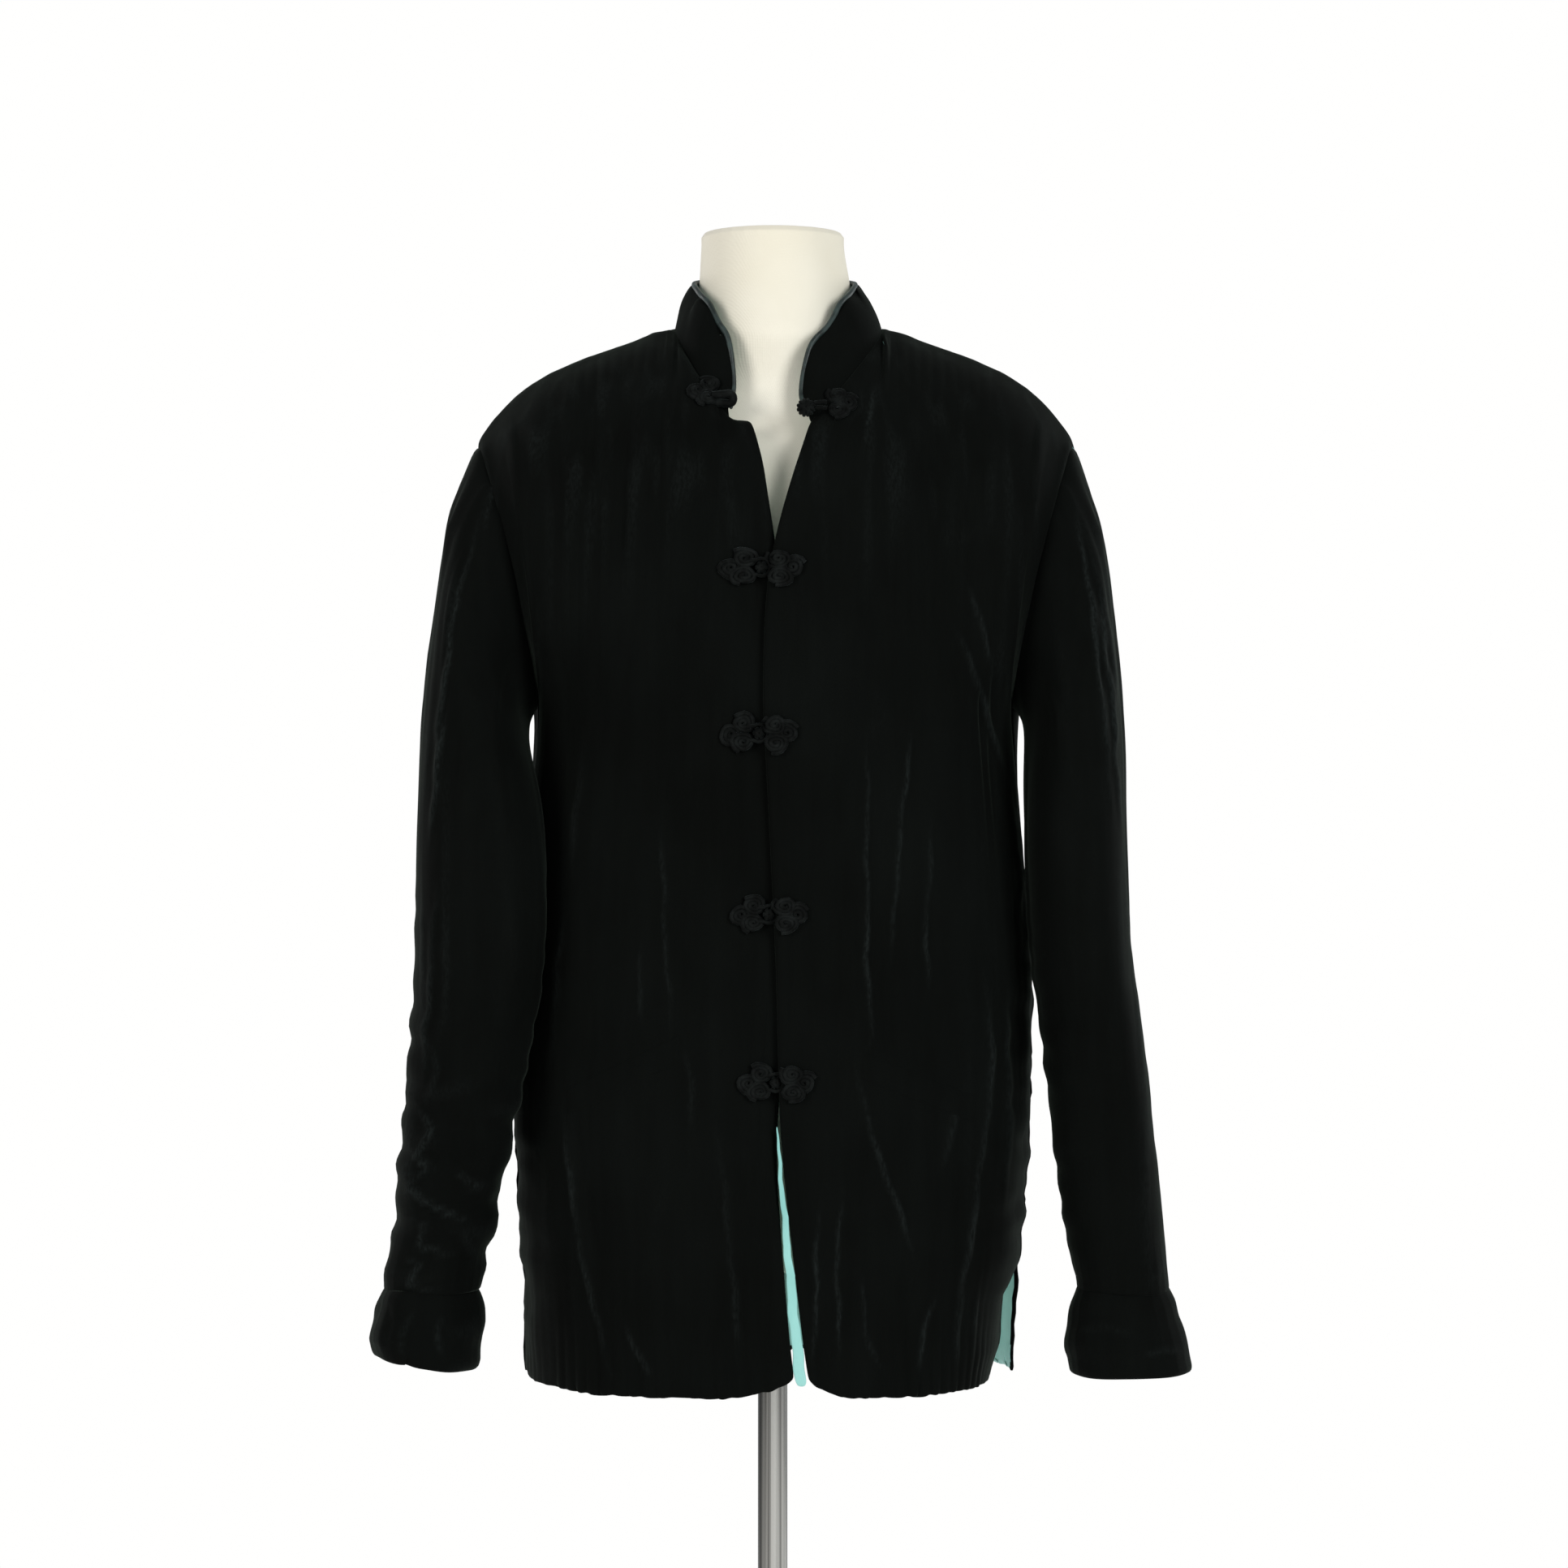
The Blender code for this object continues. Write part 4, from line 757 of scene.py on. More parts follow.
leftFrontCreases = (
    (((1077, 462), (1072, 505), (1064, 562)), 3.0, 1.4),
    (((1068, 905), (1068, 1050), (1068, 1180), (1073, 1280), (1056, 1312)), 2.8, 1.7),
    (((1124, 885), (1116, 960), (1104, 1080), (1099, 1190)), 3.0, 1.6),
    (((1149, 1000), (1143, 1130), (1146, 1235)), 3.2, 1.4),
    (((1052, 1312), (1066, 1375), (1086, 1432), (1106, 1492), (1128, 1555)), 3.0, 1.8),
    (((1192, 1338), (1172, 1395), (1164, 1452)), 5.0, 1.7),
    (((1160, 1345), (1150, 1400), (1158, 1440)), 5.0, -1.2),
    (((1213, 1180), (1228, 1300), (1215, 1420), (1194, 1560), (1170, 1700)), 3.4, 1.7),
    (((1012, 1468), (1005, 1560), (1003, 1700)), 3.0, 1.5),
    (((1038, 1440), (1030, 1580), (1036, 1692)), 3.0, 1.4),
    (((1060, 1560), (1066, 1640), (1090, 1692)), 3.0, 1.3),
    (((1156, 1598), (1140, 1645), (1134, 1700)), 3.0, 1.4),
    (((1190, 1588), (1181, 1700)), 3.0, 1.3),
    (((1211, 1600), (1206, 1700)), 3.0, 1.2),
    (((1180, 768), (1200, 822), (1226, 892), (1246, 955)), 3.2, 2.0),
    (((1194, 714), (1214, 762), (1226, 828)), 3.2, 1.7),
    (((1168, 790), (1186, 850), (1206, 915)), 6.0, -1.7),
    (((1246, 958), (1258, 1005), (1267, 1085), (1264, 1150), (1274, 1205)), 3.4, 1.5),
    (((1246, 1225), (1250, 1350), (1247, 1500)), 3.4, 1.4),
    (((1070, 840), (1090, 880), (1072, 920)), 12.0, 1.2),
    (((1150, 650), (1185, 660), (1215, 640)), 8.0, 1.0),
    (((1096, 900), (1090, 1050), (1086, 1200)), 7.0, -1.1),
    (((1180, 520), (1176, 600), (1168, 700)), 9.0, 1.2),
    (((1130, 470), (1124, 560), (1116, 660)), 9.0, 1.2),
    (((1232, 500), (1228, 590), (1212, 690)), 8.0, 1.2),
    (((1156, 490), (1150, 590), (1142, 690)), 6.0, -1.1),
    (((1206, 500), (1200, 600), (1192, 690)), 6.0, -1.1),
)
backCreases = (
    # x and z in metres, half width and height in mm
    (((0.150, 1.150), (0.128, 1.215), (0.112, 1.262)), 4.0, 2.0),
    (((0.156, 1.120), (0.140, 1.180), (0.128, 1.210)), 6.0, -1.8),
    (((-0.148, 1.142), (-0.124, 1.205), (-0.110, 1.240)), 4.0, 1.9),
    (((-0.152, 1.110), (-0.138, 1.165), (-0.122, 1.195)), 6.0, -1.7),
    (((0.062, 1.110), (0.058, 1.010), (0.048, 0.915)), 3.2, 1.6),
    (((0.090, 1.060), (0.094, 0.960), (0.088, 0.880)), 3.2, 1.4),
    (((-0.046, 1.085), (-0.056, 0.985), (-0.064, 0.890)), 3.2, 1.6),
    (((-0.092, 1.030), (-0.088, 0.930), (-0.098, 0.840)), 3.2, 1.4),
    (((0.010, 0.960), (0.016, 0.880), (0.006, 0.800)), 4.0, 1.2),
    (((0.118, 0.900), (0.112, 0.820), (0.100, 0.735)), 3.4, 1.7),
    (((-0.112, 0.880), (-0.106, 0.810), (-0.090, 0.735)), 3.4, 1.6),
    (((0.040, 0.850), (0.046, 0.790), (0.040, 0.735)), 3.0, 1.3),
    (((-0.030, 0.860), (-0.024, 0.800), (-0.034, 0.735)), 3.0, 1.3),
    (((0.142, 1.060), (0.146, 0.960), (0.140, 0.870)), 4.0, 1.3),
    (((-0.140, 1.040), (-0.146, 0.950), (-0.138, 0.860)), 4.0, 1.3),
    (((0.115, 1.355), (0.112, 1.300), (0.104, 1.240)), 8.0, 1.2),
    (((0.080, 1.370), (0.078, 1.310), (0.072, 1.250)), 8.0, 1.2),
    (((-0.112, 1.352), (-0.108, 1.296), (-0.100, 1.236)), 8.0, 1.2),
    (((-0.078, 1.370), (-0.074, 1.306), (-0.070, 1.246)), 8.0, 1.2),
    (((0.030, 1.340), (0.028, 1.260), (0.024, 1.180)), 9.0, 1.0),
    (((-0.034, 1.340), (-0.030, 1.262), (-0.026, 1.180)), 9.0, 1.0),
)
leftSleeveCreases = (
    (((1275, 495), (1300, 550), (1292, 600)), 3.2, 1.8),
    (((1278, 524), (1264, 602)), 3.2, 1.5),
    (((1302, 560), (1286, 602), (1268, 642)), 3.4, 1.5),
    (((1325, 592), (1342, 690), (1354, 800), (1362, 900), (1371, 1000)), 3.0, 2.0),
    (((1346, 640), (1362, 750), (1371, 850), (1378, 960), (1386, 1065)), 3.0, 2.0),
    (((1362, 700), (1375, 800), (1380, 880)), 3.0, 1.6),
    (((1334, 640), (1350, 760), (1360, 880)), 3.6, -1.6),
    (((1354, 700), (1368, 820), (1374, 940)), 3.6, -1.6),
    (((1300, 700), (1312, 860), (1322, 1010)), 9.0, 1.1),
    (((1262, 690), (1256, 800), (1262, 900)), 8.0, 1.2),
    (((1400, 1180), (1412, 1290), (1420, 1380)), 4.5, 1.0),
    (((1300, 1240), (1316, 1380), (1330, 1500)), 7.0, 0.9),
    (((1436, 1560), (1424, 1575), (1408, 1582)), 4.0, 1.3),
    (((1440, 1600), (1426, 1606), (1404, 1608)), 4.0, 1.3),
    (((1335, 1602), (1352, 1598), (1372, 1604)), 4.0, 1.2),
)
leftSleeveHidden = (
    (((0.214, 1.300), (0.222, 1.220), (0.228, 1.120), (0.230, 1.020)), 3.4, 1.8),
    (((0.198, 1.290), (0.206, 1.200), (0.212, 1.100)), 3.6, 1.6),
    (((0.188, 1.240), (0.190, 1.170), (0.196, 1.090)), 4.0, 1.5),
    (((0.190, 1.090), (0.206, 1.060), (0.222, 1.052)), 6.0, 1.6),
    (((0.192, 1.060), (0.208, 1.034), (0.226, 1.028)), 6.0, -1.5),
    (((0.196, 1.030), (0.212, 1.004), (0.230, 0.998)), 6.0, 1.5),
    (((0.206, 0.960), (0.212, 0.880), (0.222, 0.800)), 5.0, 1.2),
    (((0.240, 0.940), (0.244, 0.860), (0.250, 0.790)), 4.0, 1.2),
)
rightSleeveCreases = (
    (((592, 606), (570, 690), (552, 780), (542, 880), (534, 990)), 3.2, 1.9),
    (((612, 560), (598, 600), (592, 660)), 3.4, 1.5),
    (((576, 640), (558, 730), (546, 820)), 4.0, -1.5),
    (((552, 870), (538, 950), (530, 1050)), 3.0, 1.7),
    (((566, 900), (552, 980), (548, 1060)), 5.0, -1.3),
    (((544, 1080), (534, 1160), (526, 1260), (522, 1340)), 3.4, 1.6),
    (((560, 1100), (552, 1200), (540, 1300)), 5.0, 1.1),
    (((640, 760), (660, 860), (668, 980)), 8.0, 1.1),
    (((620, 1040), (632, 1140), (640, 1250)), 8.0, 1.0),
    (((528, 1280), (538, 1320), (530, 1362)), 4.0, 1.4),
    (((507, 1352), (532, 1392), (516, 1424), (548, 1446)), 3.6, 1.9),
    (((500, 1402), (526, 1440), (504, 1462), (540, 1486)), 3.6, 1.9),
    (((498, 1452), (520, 1480), (556, 1496), (588, 1512)), 3.6, 2.0),
    (((494, 1502), (524, 1512), (512, 1536), (566, 1548)), 3.6, 2.0),
    (((490, 1548), (516, 1560), (502, 1584), (548, 1592)), 3.6, 2.0),
    (((518, 1408), (536, 1430), (520, 1452)), 4.0, -1.8),
    (((508, 1470), (538, 1500), (530, 1524)), 4.0, -1.9),
    (((500, 1528), (530, 1540), (520, 1568)), 4.0, -1.9),
    (((560, 1440), (584, 1460), (606, 1466)), 4.0, 1.2),
    (((566, 1520), (582, 1546), (596, 1560)), 4.0, 1.3),
)
rightSleeveHidden = (
    (((-0.212, 1.300), (-0.220, 1.220), (-0.228, 1.110), (-0.230, 1.010)), 3.4, 1.8),
    (((-0.196, 1.290), (-0.204, 1.190), (-0.212, 1.090)), 3.6, 1.6),
    (((-0.184, 1.235), (-0.180, 1.160), (-0.176, 1.080)), 4.0, 1.5),
    (((-0.160, 1.080), (-0.182, 1.050), (-0.210, 1.040)), 6.0, 1.6),
    (((-0.160, 1.050), (-0.184, 1.020), (-0.214, 1.012)), 6.0, -1.5),
    (((-0.164, 1.016), (-0.188, 0.990), (-0.216, 0.984)), 6.0, 1.5),
    (((-0.186, 0.900), (-0.206, 0.880), (-0.232, 0.876)), 4.0, 1.7),
    (((-0.190, 0.866), (-0.212, 0.848), (-0.240, 0.846)), 4.0, 1.7),
    (((-0.194, 0.830), (-0.216, 0.816), (-0.244, 0.812)), 4.0, 1.7),
)


def armholeOnly(co):
    return abs(co.x) > 0.05


def everyRim(co):
    return True


def backFacing(places, ways):
    return np.zeros(len(places))


sheetShare = {"levels": 2, "wall": 0.003, "rimCrease": 0.3}
bodyShare = {**sheetShare, "kind": 0, "keep": bodyKeep, "lumps": bodyLumps, "puckers": bodyPuckers,
             "streaks": bodySheenStreaks}
frontShare = {**bodyShare, "depth": -0.13, "facing": frontFacing, "keepRims": armholeOnly}
frontLeft = {**frontShare, "name": "frontLeft", "node": "front_left", "creases": leftFrontCreases,
             "extra": leftVent, "shift": Vector((3.1, 0.4, 7.7))}
frontRight = {**frontShare, "name": "frontRight", "node": "front_right", "creases": rightFrontCreases,
              "extra": rightVent, "shift": Vector((13.1, 2.4, 1.7))}
backPanel = {**bodyShare, "name": "backPanel", "node": "back", "depth": 0.12, "rowHeight": 0.028,
             "creases": (), "hidden": backCreases, "facing": backFacing, "keepRims": everyRim,
             "extra": backVent, "turned": ventLining, "shift": Vector((5.1, 9.4, 2.7))}


def sleeveKeep(co):
    return ramped(co.z, ((0.76, 0.2), (0.90, 0.16), (1.05, 0.25), (1.20, 0.4), (1.30, 0.5)))


def leftSleevePuckers(places):
    inner = np.clip((0.236 - places[:, 0]) / 0.03, 0.25, 1.0)
    return inner * np.interp(places[:, 2], (0.77, 0.80, 0.98, 1.06), (0.5, 0.75, 0.6, 0.0))


def rightSleevePuckers(places):
    return np.interp(places[:, 2], (0.77, 0.79, 0.88, 0.98, 1.06), (0.9, 1.5, 1.4, 0.5, 0.0))


def sleeveTuck(co):
    if co.z < 1.0:
        return Vector((0.0, 0.0, -0.0015))
    return Vector((-math.copysign(ramped(co.z, ((1.25, 0.0022), (1.32, 0.0042))), co.x), 0.0, -0.0008))


def sleeveLumps(places):
    return np.interp(places[:, 2], (0.77, 0.80, 0.95, 1.10, 1.28, 1.33), (0.5, 1.2, 1.0, 1.0, 1.0, 0.2))


sleeveShare = {**sheetShare, "facing": frontFacing, "keep": sleeveKeep, "keepRims": everyRim,
               "lumps": sleeveLumps, "streaks": sleeveSheenStreaks, "tuck": sleeveTuck}
sleeveLeft = {**sleeveShare, "name": "sleeveLeft", "node": "sleeve_left", "kind": 1, "depth": -0.09,
              "creases": leftSleeveCreases, "hidden": leftSleeveHidden, "puckers": leftSleevePuckers,
              "shift": Vector((1.0, 5.0, 3.0))}
sleeveRight = {**sleeveShare, "name": "sleeveRight", "node": "sleeve_right", "kind": -1, "depth": -0.10,
               "creases": rightSleeveCreases, "hidden": rightSleeveHidden, "puckers": rightSleevePuckers,
               "shift": Vector((8.0, 1.0, 6.0))}

leftFront = clothPiece(frontLeft)
rightFront = clothPiece(frontRight)
back = clothPiece(backPanel)
leftSleeve = clothPiece(sleeveLeft)
rightSleeve = clothPiece(sleeveRight)


# Cuffs, collar and small cloth: the solid's form, rounded

def plainKeep(co):
    return 1.0


def cuffKeep(co):
    return 0.12


def evenly(amount):
    return lambda places: np.full(len(places), amount)


# Share of the way down a cuff, and share of its swell there
cuffSwell = ((0.0, -0.5), (0.1, -0.3), (0.3, 0.3), (0.6, 1.0), (0.85, 0.85), (0.95, 0.5), (1.0, 0.1))


def puffed(height):
    # Tucks a cuff's upper edge in and swells it between there and its end
    def extra(places, ways):
        low, high = places[:, 2].min(), places[:, 2].max()
        share = np.clip((high - places[:, 2]) / (high - low), 0.0, 1.0)
        swell = np.interp(share, *zip(*cuffSwell))
        return ways * (swell * height)[:, None]
    return extra


def cuffTuck(co):
    # The upper edge reaches up under the sleeve's end
    return Vector((0.0, 0.0, 0.0035)) if co.z > 0.735 else Vector((0.0, 0.0, 0.0))


cuffShare = {"levels": 2, "wall": 0.005, "rimCrease": 0.0, "rowHeight": 0.009, "facing": frontFacing,
             "keep": cuffKeep, "keepRims": everyRim, "inside": velvet, "tuck": cuffTuck}
cuffLeft = {**cuffShare, "name": "cuffLeft", "node": "cuff_left", "kind": 1, "depth": -0.09,
            "creases": ((((1325, 1640), (1360, 1634), (1400, 1642)), 4.0, 1.2),
                        (((1400, 1668), (1432, 1660), (1460, 1664)), 4.0, 1.2),
                        (((1330, 1672), (1352, 1680), (1385, 1672)), 4.0, -1.2)),
            "lumps": evenly(1.6), "puckers": evenly(0.7), "extra": puffed(0.0035),
            "shift": Vector((2.0, 2.0, 4.0))}
cuffRight = {**cuffShare, "name": "cuffRight", "node": "cuff_right", "kind": -1, "depth": -0.10,
             "creases": ((((512, 1612), (500, 1640), (498, 1668)), 4.0, 1.6),
                         (((548, 1618), (538, 1640), (542, 1672)), 4.0, 1.2),
                         (((472, 1606), (486, 1630), (480, 1656)), 4.0, -1.4)),
             "lumps": evenly(2.2), "puckers": evenly(1.1), "extra": puffed(0.0045),
             "shift": Vector((7.0, 3.0, 9.0))}


def collarTuck(co):
    return Vector((0.0, 0.0, -0.0035))


def leanOf(places):
    # The right front end of the collar stands a little further from the opening than its solid
    low = np.interp(places[:, 2], (1.335, 1.350, 1.370, 1.430), (0.3, 1.0, 1.0, 0.0))
    front = np.clip((-places[:, 1] - 0.050) / 0.030, 0.0, 1.0)
    side = np.clip(-places[:, 0] / 0.012 - 0.5, 0.0, 1.0)
    return onAxis(places, 0, -0.0035 * low * front * side)


def collarLean(places):
    # Behind the neck's sides the roll sits down on the collar's edge
    sunk = np.clip((places[:, 1] + 0.065) / 0.030, 0.0, 1.0) * 0.0016
    return places + leanOf(places) - onAxis(places, 2, sunk)


standCollar = {"name": "standCollar", "node": "collar", "kind": 0, "levels": 2, "wall": 0.0022,
               "rimCrease": 0.75, "depth": -0.07, "rowHeight": 0.01, "creases": (), "facing": frontFacing,
               "keep": plainKeep, "keepRims": everyRim, "lumps": evenly(0.35), "puckers": evenly(0.15),
               "extra": lambda places, ways: leanOf(places), "tuck": collarTuck, "roll": "collar_binding",
               "shift": Vector((4.0, 4.0, 1.0))}

leftCuff = clothPiece(cuffLeft)
rightCuff = clothPiece(cuffRight)
collar = clothPiece(standCollar)


def smallPiece(name, nodeName, material, levels, crease, thinner=0.0, shape=None):
    cage = mergedCopy(nodeName)
    layer = cage.edges.layers.float["crease_edge"]
    for edge in cage.edges:
        edge[layer] = crease if edge.calc_face_angle(0.0) > 1.0 else 0.0
    for face in cage.faces:
        face.smooth = True
    cage.normal_update()
    for vert, inward in [(vert, vert.normal.copy()) for vert in cage.verts]:
        vert.co -= inward * thinner
    mesh = shapedMesh({"name": name, "levels": levels}, cage)
    if shape is not None:
        places = np.array([vert.co for vert in mesh.vertices])
        mesh.vertices.foreach_set("co", shape(places).astype(np.float32).ravel())
        mesh.update()
    obj = finishedPiece(name, mesh, (material,), nodeName)
    print("small piece:", name, len(mesh.polygons), "faces")
    return obj


def wavyEdge(places):
    # The turned out strip of lining wavers along both edges
    x = places[:, 0] + 0.0007 * wander(places[:, 2], 1.3, 0.0065)
    y = places[:, 1] + 0.0003 * wander(places[:, 2], 4.1, 0.0040)
    return np.stack([x, y, places[:, 2]], axis=1)


smallPiece("collarRoll", "collar_binding", edgeRoll, 2, 0.0, thinner=-0.0012, shape=collarLean)
smallPiece("turnedLining", "front_edge_lining", lining, 3, 0.3, shape=wavyEdge)


# Pocket welts: low flat strips on the cloth, from the ends of their upper edges in metres

weltSizes = {"width": 0.020, "height": 0.0009, "along": 40, "across": 12, "tuck": 0.0006}
weltLines = {"left": ((0.0570, 0.9280), (0.1340, 0.8960)), "right": ((-0.0590, 0.9390), (-0.1360, 0.9010))}


def welt(side, tree):
    start, end = weltLines[side]
    work = bmesh.new()
    rows = []
    for i in range(weltSizes["across"] + 1):
        v = i / weltSizes["across"]
        row = []
        for j in range(weltSizes["along"] + 1):
            u = j / weltSizes["along"]
            x = start[0] + (end[0] - start[0]) * u
            z = start[1] + (end[1] - start[1]) * u - weltSizes["width"] * v
            inset = min(u, 1 - u) * weltSizes["along"], min(v, 1 - v) * weltSizes["across"]
            edge = min(1.0, min(inset) / 1.6)
            level = sum(onCloth(tree, x + dx, z, 0.0).y for dx in (-0.003, 0.0, 0.003)) / 3
            rise = weltSizes["height"] * math.sqrt(edge) - weltSizes["tuck"] * (1.0 - edge)
            row.append(work.verts.new((x, level - rise, z)))
        rows.append(row)
    for lower, upper in zip(rows[:-1], rows[1:]):
        for j in range(weltSizes["along"]):
            work.faces.new((lower[j], lower[j + 1], upper[j + 1], upper[j]))
    bmesh.ops.recalc_face_normals(work, faces=work.faces[:])
    if sum(face.normal.y for face in work.faces) > 0:
        bmesh.ops.reverse_faces(work, faces=work.faces[:])
    for face in work.faces:
        face.smooth = True
    mesh = bpy.data.meshes.new("welt")
    work.to_mesh(mesh)
    work.free()
    return finishedPiece("welt" + side.capitalize(), mesh, (velvet,), "welt_" + side)


# Frog fastenings: coils of cord laid on the cloth, a wound ball and its loop

frogSizes = {
    "cordRadius": 0.00165,
    "coilTurns": 2.7,
    "pointsPerTurn": 14,
    "windings": 3,
    "windingTilt": 0.5,
    "ringPoints": 20,
    "hubShare": 0.05,
    "ballRadius": 0.0042,
    "wallReach": 0.13,
}


def clothTree(objects):
    verts = []
    faces = []
    for obj in objects:
        start = len(verts)
        verts += [v.co.copy() for v in obj.data.vertices]
        faces += [[start + i for i in p.vertices] for p in obj.data.polygons]
    return BVHTree.FromPolygons(verts, faces)


def onCloth(tree, x, z, height):
    place = tree.ray_cast(Vector((x, -1.0, z)), Vector((0.0, 1.0, 0.0)))[0]
    if place is None or place.y > 0.0:
        near = tree.find_nearest(Vector((x, -frogSizes["wallReach"], z)))[0]
        place = Vector((x, near.y, z))
    return Vector((place.x, place.y - height, place.z))


def cordObject(name, paths, radius, material):
    data = bpy.data.curves.new(name, "CURVE")
    data.dimensions = "3D"
    data.bevel_depth = radius
    data.bevel_resolution = 2
    data.use_fill_caps = True
    for path, closed in paths:
        spline = data.splines.new("POLY")
        spline.points.add(len(path) - 1)
        for point, place in zip(spline.points, path):
            point.co = (place[0], place[1], place[2], 1.0)
        spline.use_cyclic_u = closed
        spline.use_smooth = True
    data.materials.append(material)
    obj = bpy.data.objects.new(name, data)
    bpy.context.scene.collection.objects.link(obj)
    return obj


def coil(tree, x, z, radiusX, radiusZ, start, way, lift, wobble):
    # A flat coil from its outside in, a little uneven as a hand lays it
    path = []
    turns = frogSizes["coilTurns"]
    count = int(turns * frogSizes["pointsPerTurn"])
    for index in range(count + 1):
        share = index / count
        shrink = 1.0 - share * (1.0 - frogSizes["hubShare"])
        angle = start + way * share * turns * 2 * math.pi
        shrink *= 1.0 + 0.07 * math.sin(3.0 * angle + wobble)
        height = lift + frogSizes["cordRadius"] * (0.5 + 0.9 * share)
        acrossX = x + shrink * radiusX * math.cos(angle)
        path.append(onCloth(tree, acrossX, z + shrink * radiusZ * math.sin(angle), height))
    return path


# Lobes of a pad in its own half sizes:
# outwards, up, half width, half height, start of the coil, lift in cords
padLobes = (
    (0.36, -0.02, 0.58, 0.56, 0.4, 0.0),
    (-0.24, 0.46, 0.56, 0.50, 2.4, 0.5),
    (-0.20, -0.48, 0.58, 0.48, 4.4, 0.7),
)


def frogPad(name, nodeName, tree, facing, tilt):
    low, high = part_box(nodeName)
    middleX, middleZ = (low[0] + high[0]) / 2, (low[2] + high[2]) / 2
    halfX, halfZ = (high[0] - low[0]) / 2, (high[2] - low[2]) / 2
    paths = []
    for outwards, up, halfWidth, halfHeight, start, lift in padLobes:
        x = middleX + facing * outwards * halfX
        z = middleZ + up * halfZ + tilt * facing * outwards * halfX
        path = coil(tree, x, z, halfWidth * halfX, halfHeight * halfZ, start, facing,
                    lift * frogSizes["cordRadius"], middleZ * 900 + start)
        paths.append((path, False))
    return declared(cordObject(name, paths, frogSizes["cordRadius"], silkCord), nodeName)


def woundPaths(centre, radius, cord):
    paths = []
    for index in range(frogSizes["windings"]):
        spun = Matrix.Rotation(index * math.pi / frogSizes["windings"], 3, "Y")
        turned = spun @ Matrix.Rotation(frogSizes["windingTilt"], 3, "X")
        for side in (-0.5, 0.5):
            offset = side * cord * 1.9
            ringRadius = math.sqrt(max(radius * radius - offset * offset, 1e-8))
            ring = []
            for point in range(frogSizes["ringPoints"]):
                angle = 2 * math.pi * point / frogSizes["ringPoints"]
                local = Vector((offset, ringRadius * math.cos(angle), ringRadius * math.sin(angle)))
                ring.append(centre + turned @ local)
            paths.append((ring, True))
    return paths


def core(name, centre, radius, nodeName):
    work = bmesh.new()
    bmesh.ops.create_icosphere(work, subdivisions=3, radius=radius)
    bmesh.ops.translate(work, verts=work.verts[:], vec=centre)
    for face in work.faces:
        face.smooth = True
    mesh = bpy.data.meshes.new(name)
    work.to_mesh(mesh)
    work.free()
    mesh.materials.append(silkCord)
    obj = bpy.data.objects.new(name, mesh)
    bpy.context.scene.collection.objects.link(obj)
    return declared(obj, nodeName)


def middleOf(nodeName):
    low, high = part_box(nodeName)
    return Vector(((low[0] + high[0]) / 2, (low[1] + high[1]) / 2, (low[2] + high[2]) / 2))


def closedKnot(name, nodeName, tree):
    # A wound ball, with the loop's two cords coming from the pad on the picture's left and round it
    centre = middleOf(nodeName)
    centre.y = onCloth(tree, centre.x, centre.z, frogSizes["ballRadius"] * 0.85).y
    cord = frogSizes["cordRadius"] * 0.7
    radius = frogSizes["ballRadius"] - cord
    paths = woundPaths(centre, radius, cord)
    reach = frogSizes["ballRadius"] + cord * 1.2
    loop = [centre + Vector((-reach * 2.3, 0.0012, -0.0030)), centre + Vector((-reach * 1.5, 0.0, -0.0042))]
    for index in range(13):
        angle = -2.1 + 4.2 * index / 12
        loop.append(centre + Vector((reach * math.cos(angle), -0.0004, reach * math.sin(angle))))
    loop += [centre + Vector((-reach * 1.5, 0.0, 0.0042)), centre + Vector((-reach * 2.3, 0.0012, 0.0030))]
    paths.append((loop, False))
    stem = [centre + Vector((radius * 0.6, 0.0, 0.0)), centre + Vector((radius * 2.0, 0.0010, 0.0004)),
            centre + Vector((radius * 3.4, 0.0014, 0.0))]
    paths.append((stem, False))
    declared(cordObject(name, paths, cord, silkCord), nodeName)
    core(name + "Core", centre, radius, nodeName)


frontTree = clothTree((leftFront, rightFront))
collarTree = clothTree((leftFront, rightFront, collar))
for weltSide in ("left", "right"):
    welt(weltSide, frontTree)
for number, tilt in ((1, 0.10), (2, 0.16), (3, 0.05), (4, 0.08)):
    stem = "frog_%d_" % number
    label = "frog%d" % number
    frogPad(label + "KnotPad", stem + "knot_pad", frontTree, 1, tilt)
    frogPad(label + "LoopPad", stem + "loop_pad", frontTree, -1, tilt)
    closedKnot(label + "Ball", stem + "knot", frontTree)
frogPad("collarPadLeft", "collar_pad_left", collarTree, 1, 0.0)
frogPad("collarPadRight", "collar_pad_right", collarTree, -1, 0.0)

# Collar's open pair: the ball and the loop stand out past the collar's front edges
collarEnds = {"ball": (993.0, 502.0), "ballRadius": 0.0064, "nub": (898.0, 491.0),
              "nubSize": (0.0030, 0.0034), "cord": 0.0027}


def collarBall():
    seat = middleOf("collar_knot")
    x, z = fromPhoto(collarEnds["ball"], seat.y)
    centre = Vector((x, seat.y, z))
    cord = frogSizes["cordRadius"] * 0.8
    radius = collarEnds["ballRadius"] - cord
    paths = woundPaths(centre, radius, cord)
    for side in (-1.0, 1.0):
        stem = [centre + Vector((0.002, 0.0, side * 0.0014)), seat + Vector((0.0, -0.001, side * 0.0016)),
                seat + Vector((0.007, 0.0, side * 0.0020))]
        paths.append((stem, False))
    declared(cordObject("collarBall", paths, cord, silkCord), "collar_knot")
    core("collarBallCore", centre, radius, "collar_knot")


